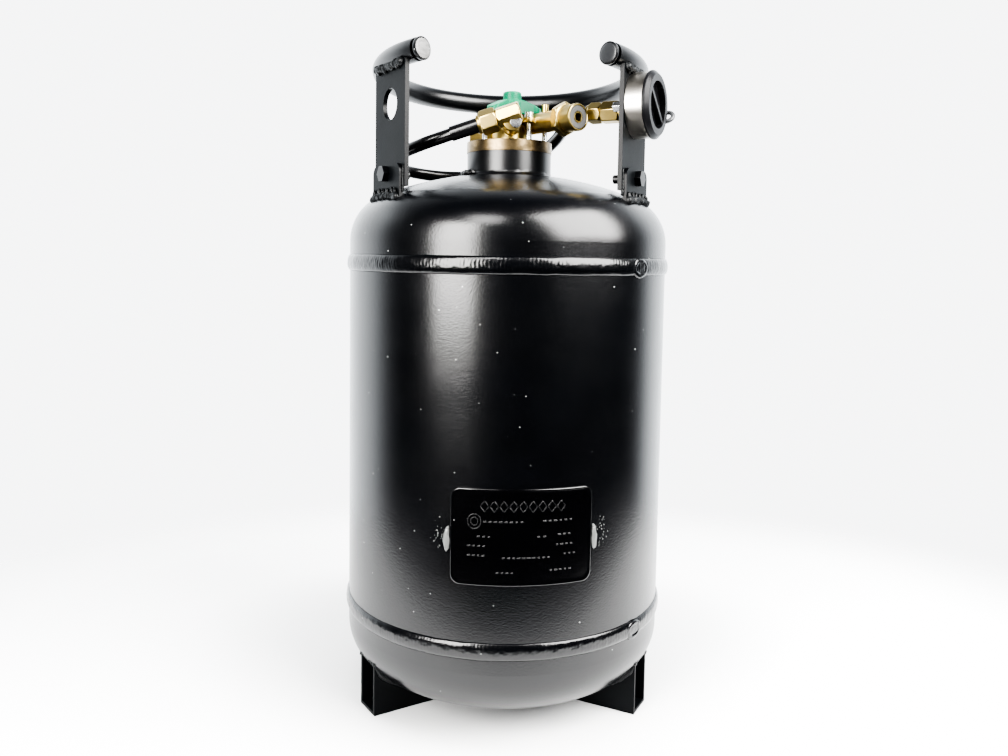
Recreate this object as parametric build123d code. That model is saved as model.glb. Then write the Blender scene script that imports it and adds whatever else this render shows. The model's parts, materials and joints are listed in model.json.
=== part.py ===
from build123d import *
import math
import os

# A 30-litre refillable gas tank for motorhomes and caravans. Millimetres, +Z up.
# The origin is on the floor, on the tank's axis. The rating plate faces -Y.

# ---- vessel ----
TANK_R = 150.0            # outer radius of the shell
WALL = 3.0
LOWER_WELD_Z = 88.0       # centre height of each girth weld
UPPER_WELD_Z = 407.5
SKIRT = 20.0              # straight skirt of each dished head
KNUCKLE_R = 46.0          # outer radii of the dished head
CROWN_R = 330.0
WELD_W = 15.0             # girth weld bead
WELD_H = 2.8

# ---- neck ----
NECK_R = 40.0
NECK_WALL = 8.0
NECK_BOTTOM_Z = 478.0
FLANGE_BOTTOM_Z = 512.0
FLANGE_TOP_Z = 522.5
FLANGE_R = 40.5
FLANGE_BORE_R = 29.0

# ---- feet ----
FOOT_AZIMUTHS = {"foot_front_left": -150.0, "foot_front_right": -30.0, "foot_rear": 90.0}
FOOT_W = 30.0
FOOT_WALL = 3.0
FOOT_OUTER = 144.5
FOOT_INNER = 62.0
FOOT_TOP_Z = 62.0

# ---- rating plate ----
PLATE_AZ = -86.5
PLATE_HALF_ANGLE = 23.0
PLATE_BOTTOM_Z = 144.5
PLATE_TOP_Z = 225.8
PLATE_T = 1.5
PLATE_CORNER_R = 8.0
PLATE_TACK_Z = 181.5

# ---- carrying handle ----
RING_R = 120.0            # centreline of the ring
RING_TUBE_R = 10.0
RING_WALL = 2.0
RING_Z = 585.0
RING_TILT = 3.0           # the ring sits a little higher at the front
RING_START = -47.7        # azimuth of the right end
RING_SWEEP = 275.4
END_CAP_T = 3.0
STRAP_AZIMUTHS = {"strap_left": -150.0, "strap_right": -30.0, "strap_rear": 90.0}
STRAP_INNER = 121.5
STRAP_T = 4.0
STRAP_W = 60.0
STRAP_BOTTOM_Z = 474.0
STRAP_HOLE_R = 14.0
STRAP_HOLE_Z = 546.8
LUG_T = 3.5
LUG_W = 54.0
LUG_TOP_Z = 494.0
LUG_CORNER_R = 8.0
BOLT_Z = 485.8
BOLT_R = 4.0
BOLT_AF = 13.0
BOLT_HEAD_T = 5.5
NUT_T = 5.0
BOLT_TAIL = 9.5

# ---- multivalve ----
VALVE_X = 2.0             # axis of the shut-off spindle
PLUG_BOTTOM_Z = 502.0
DECK_BOTTOM_Z = 538.0
DECK_TOP_Z = 542.5
COLUMN_R = 16.5
SCREW_PCD_R = 34.5
SCREW_AZIMUTHS = [-62.0, -134.0, 154.0, 82.0, 10.0]
SCREW_R = 2.4
EAR_R = 6.0
PLUG_TRAVEL = 3.75        # lift of the shut-off plug over 2.5 turns
WHEEL_BOTTOM_Z = 549.2
WHEEL_TOP_Z = 571.0
WHEEL_HUB_R = 8.8
WING_AZIMUTHS = [-20.0, -140.0, 100.0]
WING_TIP_R = 28.0
WING_W = 15.0
SPINDLE_R = 3.0
RUNNING = 0.06            # radial clearance of running fits

# ---- outlet ----
OUTLET_AZ = -54.0
OUTLET_FACE = (58.0, -66.0, 539.0)
OUTLET_BARREL_R = 9.5
OUTLET_R = 12.2
OUTLET_AF = 27.0

# ---- fill line ----
INLET_BOSS_R = 8.7
INLET_BOSS_Z = 536.5
INLET_BOSS_END_Y = -34.5
INLET_ARM_START = Vector(7.3, -48.0, 546.0)
INLET_ARM_END = Vector(-30.6, -41.0, 533.6)
INLET_ARM_HEX_L = 22.0
SLEEVE_R = 6.9
SLEEVE_TAIL = 26.0        # how far the crimped sleeve runs beyond the nut
FILL_AZ = -30.0
FILL_Z = 550.0            # centre of the fill point
FILL_LINE_Z = 546.0       # centre of the fitting behind it
BARREL_R = 29.0
BARREL_FRONT = 141.0
CAP_R = 30.0
CAP_FRONT = 147.0
HOSE_R = 5.8
HOSE_NUT_AF = 17.0
FILL_NUT_INNER = 80.0
FILL_NUT_OUTER = 94.5
FILL_SCREW_SPOTS = [(-20.0, 547.0), (20.0, 553.0)]

# ---- contents gauge ----
GAUGE_X = -9.0
GAUGE_Y = 16.0
HINGE_Z = 270.0
ARM_LENGTH = 100.0
ARM_DROOP = 40.0          # the float arm hangs this far below level when empty
FLOAT_R = 18.0
FLOAT_L = 44.0

# ---- pressure relief ----
RELIEF_X = 12.5
RELIEF_Y = 15.5

CROWN_TO_KNUCKLE = math.sqrt((CROWN_R - KNUCKLE_R) ** 2 - (TANK_R - KNUCKLE_R) ** 2)
HEAD_DEPTH = CROWN_R - CROWN_TO_KNUCKLE


def radial(azimuth):
    angle = math.radians(azimuth)
    return Vector(math.cos(angle), math.sin(angle), 0)


def tangent(azimuth):
    angle = math.radians(azimuth)
    return Vector(-math.sin(angle), math.cos(angle), 0)


def rod(start, direction, radius, length):
    """A round bar from start along direction."""
    return extrude(Plane(origin=start, z_dir=direction) * Circle(radius), amount=length)


def hex_bar(start, direction, across_flats, length, turn=0.0):
    """A hexagonal bar with two of its flats level, then turned about its own axis."""
    side = Vector(0, 0, 1).cross(direction)
    if side.length < 0.01:
        side = Vector(1, 0, 0)
    plane = Plane(origin=start, x_dir=side, z_dir=direction)
    outline = Rot(0, 0, turn) * RegularPolygon(across_flats / 2, 6, major_radius=False)
    return extrude(plane * outline, amount=length)


def standing_rod(x, y, z0, z1, radius):
    return Pos(x, y, (z0 + z1) / 2) * Cylinder(radius, z1 - z0)


def ring_plate(x, y, z0, z1, outer, inner):
    return standing_rod(x, y, z0, z1, outer) - standing_rod(x, y, z0 - 1, z1 + 1, inner)


def polar_box(azimuth, r0, r1, width, z0, z1, offset=0.0):
    """A box whose faces are square to the radial direction."""
    box = Box(r1 - r0, width, z1 - z0)
    return Rot(0, 0, azimuth) * Pos((r0 + r1) / 2, offset, (z0 + z1) / 2) * box


def polar_rod(azimuth, r0, r1, radius, z, offset=0.0):
    start = radial(azimuth) * r0 + tangent(azimuth) * offset + Vector(0, 0, z)
    return rod(start, radial(azimuth), radius, r1 - r0)


def polar_hex(azimuth, r0, r1, across_flats, z, offset=0.0):
    start = radial(azimuth) * r0 + tangent(azimuth) * offset + Vector(0, 0, z)
    return hex_bar(start, radial(azimuth), across_flats, r1 - r0)


def coil_spring(start, direction, coil_r, wire_r, length, turns):
    """A helical compression spring from start along direction."""
    path = Helix(pitch=length / turns, height=length, radius=coil_r)
    section = Plane(origin=path @ 0, z_dir=path % 0) * Circle(wire_r)
    return Plane(origin=start, z_dir=direction) * sweep(section, path=path)


# ---------------------------------------------------------------- vessel
def head_section(offset, skirt_bottom):
    """Half section of a dished head, offset inwards, closed on the axis. z = 0 is the skirt's top."""
    knuckle = KNUCKLE_R - offset
    crown = CROWN_R - offset
    blend = math.degrees(math.atan2(CROWN_TO_KNUCKLE, TANK_R - KNUCKLE_R))
    side = Line((TANK_R - offset, skirt_bottom), (TANK_R - offset, 0))
    corner = CenterArc((TANK_R - KNUCKLE_R, 0), knuckle, 0, blend)
    dish = CenterArc((0, -CROWN_TO_KNUCKLE), crown, blend, 90 - blend)
    axis = Line((0, HEAD_DEPTH - offset), (0, skirt_bottom))
    base = Line((0, skirt_bottom), (TANK_R - offset, skirt_bottom))
    return Plane.XZ * make_face(Curve() + [side, corner, dish, axis, base])


def dished_solid(offset, skirt_bottom):
    return revolve(head_section(offset, skirt_bottom), Axis.Z)


UPPER_AT = Pos(0, 0, UPPER_WELD_Z + SKIRT)
LOWER_AT = Pos(0, 0, LOWER_WELD_Z - SKIRT) * Rot(180, 0, 0)
FULL_HEAD = dished_solid(0, -SKIRT)
HOLLOW_HEAD = FULL_HEAD - dished_solid(WALL, -SKIRT)
UPPER_FULL = UPPER_AT * FULL_HEAD
LOWER_FULL = LOWER_AT * FULL_HEAD


def girth_weld(z):
    top = (TANK_R, z + WELD_W / 2)
    bottom = (TANK_R, z - WELD_W / 2)
    bead = ThreePointArc(bottom, (TANK_R + WELD_H, z), top)
    return revolve(Plane.XZ * make_face(Curve() + [bead, Line(top, bottom)]), Axis.Z)


def make_vessel():
    nodes = {}
    height = UPPER_WELD_Z - LOWER_WELD_Z
    middle = (UPPER_WELD_Z + LOWER_WELD_Z) / 2
    shell = Cylinder(TANK_R, height) - Cylinder(TANK_R - WALL, height)
    nodes["shell_cylinder"] = Pos(0, 0, middle) * shell
    nodes["upper_head"] = UPPER_AT * HOLLOW_HEAD - standing_rod(0, 0, 450, 520, NECK_R)
    nodes["lower_head"] = LOWER_AT * HOLLOW_HEAD
    nodes["upper_girth_weld"] = girth_weld(UPPER_WELD_Z)
    nodes["lower_girth_weld"] = girth_weld(LOWER_WELD_Z)
    nodes["neck_collar"] = ring_plate(0, 0, NECK_BOTTOM_Z, FLANGE_BOTTOM_Z, NECK_R, NECK_R - NECK_WALL)
    fillet_weld = Pos(0, 0, 490.5) * Cone(NECK_R + 7, NECK_R, 9)
    nodes["neck_weld"] = fillet_weld - standing_rod(0, 0, 450, 520, NECK_R) - UPPER_FULL
    flange = ring_plate(0, 0, FLANGE_BOTTOM_Z, FLANGE_TOP_Z, FLANGE_R, FLANGE_BORE_R)
    for azimuth in SCREW_AZIMUTHS:
        spot = radial(azimuth) * SCREW_PCD_R
        flange -= standing_rod(spot.X, spot.Y, FLANGE_BOTTOM_Z - 1, FLANGE_TOP_Z + 1, SCREW_R)
    nodes["neck_flange_ring"] = flange
    return nodes


def make_feet():
    nodes = {}
    beads = []
    for name, azimuth in FOOT_AZIMUTHS.items():
        outer = polar_box(azimuth, FOOT_INNER, FOOT_OUTER, FOOT_W, 0, FOOT_TOP_Z)
        hollow_w = FOOT_W - 2 * FOOT_WALL
        hollow = polar_box(azimuth, FOOT_INNER - 1, FOOT_OUTER + 1, hollow_w, FOOT_WALL, FOOT_TOP_Z + 1)
        channel = outer - hollow - LOWER_FULL
        nodes[name] = channel
        side = radial(azimuth) * (FOOT_OUTER - 7) + Vector(0, 0, 38.5)
        for sign in (-1, 1):
            start = side + tangent(azimuth) * sign * (FOOT_W / 2 + 0.5)
            tilt = Vector(radial(azimuth).X, radial(azimuth).Y, 0.75)
            beads.append(rod(start - tilt * 12, tilt, 3.0, 24) - outer - LOWER_FULL)
    nodes["foot_welds"] = beads
    return nodes


def make_rating_plate():
    height = PLATE_TOP_Z - PLATE_BOTTOM_Z
    middle = (PLATE_TOP_Z + PLATE_BOTTOM_Z) / 2
    band = Cylinder(TANK_R + PLATE_T, height) - Cylinder(TANK_R, height)
    width = 2 * TANK_R * math.sin(math.radians(PLATE_HALF_ANGLE))
    outline = Plane(origin=(0, 0, 0), x_dir=(0, 1, 0), z_dir=(1, 0, 0)) * RectangleRounded(
        width, height, PLATE_CORNER_R)
    plate = Rot(0, 0, PLATE_AZ) * (band & extrude(outline, amount=TANK_R + 20))
    tacks = []
    for sign in (-1, 1):
        azimuth = PLATE_AZ + sign * (PLATE_HALF_ANGLE + 0.9)
        spot = radial(azimuth) * (TANK_R - 0.6)
        blob = Pos(spot.X, spot.Y, PLATE_TACK_Z) * Sphere(4.0)
        tacks.append(blob - Pos(0, 0, middle) * Cylinder(TANK_R, 40) - Pos(0, 0, middle) * plate)
    return {"rating_plate": Pos(0, 0, middle) * plate, "plate_tack_welds": tacks}


# ---------------------------------------------------------------- carrying handle
RING_TURN = Rot(-RING_TILT, 0, 0)


def ring_height(azimuth):
    return RING_Z - RING_R * math.sin(math.radians(azimuth)) * math.sin(math.radians(RING_TILT))


def swept_ring(radius, start, sweep_angle):
    path = CenterArc((0, 0), RING_R, start, sweep_angle)
    section = Plane(origin=path @ 0, z_dir=path % 0) * Circle(radius)
    return Pos(0, 0, RING_Z) * RING_TURN * sweep(section, path=path)


RING_SOLID = swept_ring(RING_TUBE_R, RING_START, RING_SWEEP)


def make_handle():
    nodes = {}
    cap_angle = math.degrees(END_CAP_T / RING_R)
    tube_start = RING_START + cap_angle
    tube_sweep = RING_SWEEP - 2 * cap_angle
    tube = swept_ring(RING_TUBE_R, tube_start, tube_sweep)
    nodes["handle_ring"] = tube - swept_ring(RING_TUBE_R - RING_WALL, tube_start, tube_sweep)
    nodes["ring_end_caps"] = [
        swept_ring(RING_TUBE_R, RING_START, cap_angle),
        swept_ring(RING_TUBE_R, tube_start + tube_sweep, cap_angle),
    ]
    strap_outer = STRAP_INNER + STRAP_T
    lugs = []
    bolts = []
    nuts = []
    welds = []
    for name, azimuth in STRAP_AZIMUTHS.items():
        top = ring_height(azimuth) - 6
        strap = polar_box(azimuth, STRAP_INNER, strap_outer, STRAP_W, STRAP_BOTTOM_Z, top)
        strap -= polar_rod(azimuth, STRAP_INNER - 1, strap_outer + 1, BOLT_R, BOLT_Z)
        if name == "strap_left":
            strap -= polar_rod(azimuth, STRAP_INNER - 1, strap_outer + 1, STRAP_HOLE_R, STRAP_HOLE_Z)
        if name == "strap_right":
            strap -= polar_rod(azimuth, STRAP_INNER - 1, strap_outer + 1, 8.0, FILL_LINE_Z)
            for offset, z in FILL_SCREW_SPOTS:
                strap -= polar_rod(azimuth, STRAP_INNER - 1, strap_outer + 1, 2.0, z, offset)
        strap -= RING_SOLID
        nodes[name] = strap
        lug = polar_box(azimuth, strap_outer, strap_outer + LUG_T, LUG_W, 455, LUG_TOP_Z)
        corners = [e for e in lug.edges() if e.center().Z > LUG_TOP_Z - 0.1 and e.length < LUG_T + 0.1]
        lug = fillet(corners, LUG_CORNER_R)
        lug -= polar_rod(azimuth, strap_outer - 1, strap_outer + LUG_T + 1, BOLT_R, BOLT_Z)
        lug -= UPPER_FULL
        lugs.append(lug)
        head_face = strap_outer + LUG_T
        bolt = polar_hex(azimuth, head_face, head_face + BOLT_HEAD_T, BOLT_AF, BOLT_Z)
        bolt += polar_rod(azimuth, STRAP_INNER - NUT_T - BOLT_TAIL, head_face, BOLT_R, BOLT_Z)
        bolts.append(bolt)
        nut = polar_hex(azimuth, STRAP_INNER - NUT_T, STRAP_INNER, BOLT_AF, BOLT_Z)
        nut -= polar_rod(azimuth, STRAP_INNER - NUT_T - 1, STRAP_INNER + 1, BOLT_R, BOLT_Z)
        nuts.append(nut)
        along = tangent(azimuth)
        low = radial(azimuth) * (strap_outer + LUG_T + 1) - along * (LUG_W / 2 - 1) + Vector(0, 0, 465.5)
        welds.append(rod(low, along, 4.0, LUG_W - 2) - lug - UPPER_FULL)
        high = radial(azimuth) * (strap_outer + 1) - along * 27 + Vector(0, 0, ring_height(azimuth) - 7)
        bead = rod(high, along, 3.5, 54) - strap - RING_SOLID
        if name == "strap_right":
            bead -= polar_rod(azimuth, strap_outer - 1, CAP_FRONT, CAP_R + 0.3, FILL_Z)
        welds.append(bead)
    nodes["handle_lugs"] = lugs
    nodes["lug_bolts"] = bolts
    nodes["lug_nuts"] = nuts
    nodes["handle_welds"] = welds
    return nodes


# ---------------------------------------------------------------- multivalve
OUTLET_DIR = radial(OUTLET_AZ)
OUTLET_POINT = Vector(*OUTLET_FACE)
ARM_DIR = (INLET_ARM_END - INLET_ARM_START).normalized()
ARM_LEN = (INLET_ARM_END - INLET_ARM_START).length


def make_valve_body():
    """One brass forging, written as touching solids: spigot, columns, float lobe, deck, two arms."""
    spigot = standing_rod(0, 0, PLUG_BOTTOM_Z, FLANGE_TOP_Z, FLANGE_BORE_R - 0.1)
    spigot -= ring_plate(0, 0, 510.5, 513.5, FLANGE_BORE_R + 1, FLANGE_BORE_R - 2.6)
    columns = standing_rod(0, -8, FLANGE_TOP_Z, DECK_BOTTOM_Z, COLUMN_R)
    columns += standing_rod(2, 12, FLANGE_TOP_Z, DECK_BOTTOM_Z, COLUMN_R + 0.5)
    lobe = Pos(-27, 8, 527) * Box(22, 18, 9) - columns
    deck = standing_rod(0, 0, DECK_BOTTOM_Z, DECK_TOP_Z, 25)
    for azimuth in SCREW_AZIMUTHS:
        spot = radial(azimuth) * SCREW_PCD_R
        deck += polar_box(azimuth, 15, SCREW_PCD_R, 2 * EAR_R, DECK_BOTTOM_Z, DECK_TOP_Z)
        deck += standing_rod(spot.X, spot.Y, DECK_BOTTOM_Z, DECK_TOP_Z, EAR_R)
    inlet_boss = rod(Vector(0, -12, INLET_BOSS_Z), Vector(0, -1, 0), INLET_BOSS_R, -INLET_BOSS_END_Y - 12)
    inlet_boss = inlet_boss - columns - deck
    arm_root = OUTLET_POINT - OUTLET_DIR * 72
    outlet_arm = rod(arm_root, OUTLET_DIR, OUTLET_BARREL_R, 72 - 23)
    outlet_arm = outlet_arm - columns - deck - inlet_boss
    solids = []
    for piece in (spigot, columns, lobe, deck, inlet_boss, outlet_arm):
        for drilling in valve_drillings():
            piece = piece - drilling
        solids += sorted(piece.solids(), key=lambda solid: solid.volume)[-1:]
    return solids


def valve_drillings():
    drillings = []
    for azimuth in SCREW_AZIMUTHS:
        spot = radial(azimuth) * SCREW_PCD_R
        drillings.append(standing_rod(spot.X, spot.Y, PLUG_BOTTOM_Z, DECK_TOP_Z + 1, SCREW_R))
        drillings.append(standing_rod(spot.X, spot.Y, DECK_TOP_Z, DECK_TOP_Z + 9, 4.4))
    # shut-off chamber, seat and liquid passage
    drillings.append(standing_rod(VALVE_X, 0, 538.5, 556, 7.0))
    drillings.append(standing_rod(VALVE_X, 0, 527, 539, 5.2))
    drillings.append(standing_rod(VALVE_X, 0, 517, 527.5, 2.5))
    drillings.append(rod(Vector(VALVE_X, 0, 518.5), Vector(6, -10, -11), 2.4, 13))
    drillings.append(standing_rod(DIP_X, DIP_Y, 500, 511, DIP_R))
    # outlet passage
    drillings.append(rod(OUTLET_POINT - OUTLET_DIR * 56, OUTLET_DIR, 3.5, 64))
    drillings.append(rod(OUTLET_POINT - OUTLET_DIR * 35, OUTLET_DIR, 7.0, 20))
    to_outlet = OUTLET_POINT - OUTLET_DIR * 54 - Vector(VALVE_X, 0, 533)
    drillings.append(rod(Vector(VALVE_X, 0, 533), to_outlet, 2.5, to_outlet.length))
    # inlet chamber and drop passage
    drillings.append(rod(Vector(0, -17, INLET_BOSS_Z), Vector(0, -1, 0), 4.6, 40))
    drillings.append(rod(Vector(0, INLET_BOSS_END_Y + 4, INLET_BOSS_Z), Vector(0, -1, 0), 6.2, 20))
    drillings.append(standing_rod(-3, -19, 500, INLET_BOSS_Z, 2.6))
    # relief bore, gauge pocket and bleed seat
    drillings.append(standing_rod(RELIEF_X, RELIEF_Y, 508, 545, 4.6))
    drillings.append(standing_rod(RELIEF_X, RELIEF_Y, 500, 509, 2.6))
    drillings.append(standing_rod(GAUGE_X, GAUGE_Y, 500, 539.5, 3.2))
    drillings.append(standing_rod(BLEED.X, BLEED.Y, 544.5, 560, 3.2 + RUNNING))
    return drillings


DIP_X = 8.0
DIP_Y = -10.0
DIP_R = 5.0
BLEED = OUTLET_POINT - OUTLET_DIR * 45.5


def make_handwheel():
    wheel = standing_rod(VALVE_X, 0, WHEEL_BOTTOM_Z, WHEEL_TOP_Z, WHEEL_HUB_R)
    wheel = fillet(wheel.edges().sort_by(Axis.Z)[-1], 2.0)
    root = standing_rod(VALVE_X, 0, WHEEL_BOTTOM_Z, 562, 12.5)
    wheel += fillet(root.edges().sort_by(Axis.Z)[-1], 1.5)
    side = [
        (0, WHEEL_BOTTOM_Z), (WING_TIP_R, WHEEL_BOTTOM_Z), (WING_TIP_R, 554.5),
        (WING_TIP_R - 3, 556.5), (12, 562.5), (0, 562.5),
    ]
    profile = Plane.XZ * make_face(Polyline(*side, close=True))
    wing = extrude(profile, amount=WING_W / 2, both=True)
    uprights = [e for e in wing.edges() if e.center().X > WING_TIP_R - 0.1 and abs(e.center().Z - 551) < 1]
    wing = fillet(uprights, 5.0)
    for azimuth in WING_AZIMUTHS:
        wheel += Pos(VALVE_X, 0, 0) * Rot(0, 0, azimuth) * wing
    wheel -= standing_rod(VALVE_X, 0, 540, 566, SPINDLE_R)
    return wheel


def make_multivalve():
    nodes = {}
    nodes["valve_body"] = make_valve_body()
    nodes["valve_o_ring"] = Pos(0, 0, 512) * Torus(FLANGE_BORE_R - 1.35, 1.2)
    screws = []
    for azimuth in SCREW_AZIMUTHS:
        spot = radial(azimuth) * SCREW_PCD_R
        head = standing_rod(spot.X, spot.Y, DECK_TOP_Z, DECK_TOP_Z + 5.2, 4.2)
        head -= Pos(spot.X, spot.Y, DECK_TOP_Z + 4.2) * extrude(RegularPolygon(2.0, 6), amount=4)
        screws.append(head + standing_rod(spot.X, spot.Y, FLANGE_BOTTOM_Z + 2, DECK_TOP_Z, SCREW_R))
    nodes["valve_screws"] = screws
    bonnet = Pos(VALVE_X, 0, DECK_TOP_Z) * extrude(RegularPolygon(10, 6, major_radius=False), amount=4.3)
    bonnet += standing_rod(VALVE_X, 0, 538.5, DECK_TOP_Z, 7.0)
    bonnet -= standing_rod(VALVE_X, 0, 530, 550, SPINDLE_R + RUNNING)
    bonnet -= standing_rod(VALVE_X, 0, 539.5, 544.0, 5.0)
    nodes["bonnet_nut"] = bonnet
    nodes["stem_packing"] = ring_plate(VALVE_X, 0, 539.5, 544.0, 5.0, SPINDLE_R + RUNNING)
    spindle = standing_rod(VALVE_X, 0, 538.8, 566, SPINDLE_R)
    spindle += standing_rod(VALVE_X, 0, 533.4, 539, 1.5)
    nodes["valve_spindle"] = spindle
    nodes["handwheel"] = make_handwheel()
    plug = standing_rod(VALVE_X, 0, 527.1, 534.1, 4.4)
    nodes["valve_plug"] = plug - standing_rod(VALVE_X, 0, 529.2, 536, 1.5 + RUNNING)
    nodes["dip_tube"] = ring_plate(DIP_X, DIP_Y, 22, 511, DIP_R, DIP_R - 1)
    # outlet
    adapter = rod(OUTLET_POINT - OUTLET_DIR * 15, OUTLET_DIR, OUTLET_R, 15)
    adapter += hex_bar(OUTLET_POINT - OUTLET_DIR * 23, OUTLET_DIR, OUTLET_AF, 8, 30)
    adapter += rod(OUTLET_POINT - OUTLET_DIR * 34, OUTLET_DIR, 7.0, 12)
    adapter -= rod(OUTLET_POINT - OUTLET_DIR * 36, OUTLET_DIR, 3.8, 40)
    adapter -= rod(OUTLET_POINT - OUTLET_DIR * 2.5, OUTLET_DIR, 10.4, 4)
    nodes["outlet_adapter"] = adapter + (
        rod(OUTLET_POINT - OUTLET_DIR * 3, OUTLET_DIR, 5.0, 3) - rod(
            OUTLET_POINT - OUTLET_DIR * 4, OUTLET_DIR, 3.8, 6))
    seal = rod(OUTLET_POINT - OUTLET_DIR * 2.5, OUTLET_DIR, 10.4, 2.0)
    nodes["outlet_gasket"] = seal - rod(OUTLET_POINT - OUTLET_DIR * 4, OUTLET_DIR, 5.0, 6)
    nodes["bleed_screw"] = standing_rod(BLEED.X, BLEED.Y, 544.6, 555.0, 3.2) - Pos(
        BLEED.X, BLEED.Y, 555) * Box(8, 1.0, 2.4)
    # relief valve
    nodes["relief_plug"] = standing_rod(RELIEF_X, RELIEF_Y, 509.05, 513, 4.6 - RUNNING)
    nodes["relief_spring"] = coil_spring(Vector(RELIEF_X, RELIEF_Y, 513.7), Vector(0, 0, 1), 3.6, 0.6, 23.5, 7)
    cap = standing_rod(RELIEF_X, RELIEF_Y, DECK_TOP_Z, 546.6, 6.5)
    cap += standing_rod(RELIEF_X, RELIEF_Y, 538.0, DECK_TOP_Z, 4.6)
    nodes["relief_cap"] = cap - standing_rod(RELIEF_X, RELIEF_Y, 530, 550, 2.0)
    return nodes


# ---------------------------------------------------------------- fill line
def make_inlet():
    nodes = {}
    out = Vector(0, -1, 0)
    stud = rod(Vector(0, INLET_BOSS_END_Y + 4, INLET_BOSS_Z), out, 6.2, 9)
    nodes["inlet_stud"] = stud - rod(Vector(0, INLET_BOSS_END_Y + 5, INLET_BOSS_Z), out, 4.0, 12)
    elbow = hex_bar(INLET_ARM_START, ARM_DIR, 17.0, INLET_ARM_HEX_L)
    elbow += rod(Vector(0, INLET_BOSS_END_Y - 3, INLET_BOSS_Z), out, INLET_BOSS_R, 13)
    elbow -= rod(Vector(0, INLET_BOSS_END_Y - 2, INLET_BOSS_Z), out, 6.2, 3)
    elbow -= rod(Vector(0, INLET_BOSS_END_Y - 2, INLET_BOSS_Z), out, 4.0, 9)
    elbow -= rod(INLET_ARM_START + ARM_DIR * 9, ARM_DIR, 3.5, 30)
    elbow -= rod(Vector(0, INLET_BOSS_END_Y - 10, INLET_BOSS_Z), Vector(-0.7, 0, 1), 3.0, 8)
    nodes["inlet_elbow"] = elbow - stud
    nut = hex_bar(INLET_ARM_START + ARM_DIR * INLET_ARM_HEX_L, ARM_DIR, 20.0, ARM_LEN - INLET_ARM_HEX_L)
    nodes["inlet_nut"] = nut - rod(INLET_ARM_START + ARM_DIR * 20, ARM_DIR, SLEEVE_R, 40)
    sleeve_len = ARM_LEN - INLET_ARM_HEX_L + SLEEVE_TAIL
    sleeve = rod(INLET_ARM_START + ARM_DIR * INLET_ARM_HEX_L, ARM_DIR, SLEEVE_R, sleeve_len)
    nodes["hose_sleeve"] = sleeve - rod(INLET_ARM_START + ARM_DIR * 20, ARM_DIR, HOSE_R, 70)
    start = Vector(0, -25.4, INLET_BOSS_Z)
    plunger = rod(start, out, 4.6 - RUNNING, 5)
    nodes["inlet_plunger"] = plunger
    return nodes


def hose_route():
    """Control points of the fill hose, from the valve's inlet round the back to the fill point."""
    inlet = INLET_ARM_END - ARM_DIR * 14
    bend = INLET_ARM_END + ARM_DIR * 40
    fill = radial(FILL_AZ) * (FILL_NUT_OUTER - 4) + Vector(0, 0, FILL_LINE_Z)
    middle = [
        (-90, -21, 514.5), (-107, 0, 509.5), (-112, 25, 504.5), (-105, 50, 500), (-85, 67, 497.5),
        (-58, 74, 496), (-30, 74, 497), (-3, 68, 502.5), (21, 56, 511.5), (40, 39, 523),
        (50.5, 17, 533.5), (53, -5, 541.5), (55, -22, 545.3),
    ]
    last_bend = radial(FILL_AZ) * (FILL_NUT_INNER - 9) + Vector(0, 0, FILL_LINE_Z)
    return [inlet, bend] + [Vector(*p) for p in middle] + [last_bend, fill]


def filleted_path(points):
    radii = []
    for before, corner, after in zip(points, points[1:], points[2:]):
        turn = (corner - before).get_angle(after - corner)
        run = min((corner - before).length, (after - corner).length)
        radii.append(0.45 * run / math.tan(math.radians(turn) / 2))
    print("hose arc radii", [round(r) for r in radii])
    return FilletPolyline(*points, radius=radii)


def make_fill_hose():
    path = filleted_path(hose_route())
    section = Plane(origin=path @ 0, z_dir=path % 0) * Circle(HOSE_R)
    hose = sweep(section, path=path)
    print("hose length", round(path.length, 1), "volume ratio", round(
        hose.volume / (math.pi * HOSE_R ** 2 * path.length), 4))
    return {"fill_hose": hose}


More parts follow.
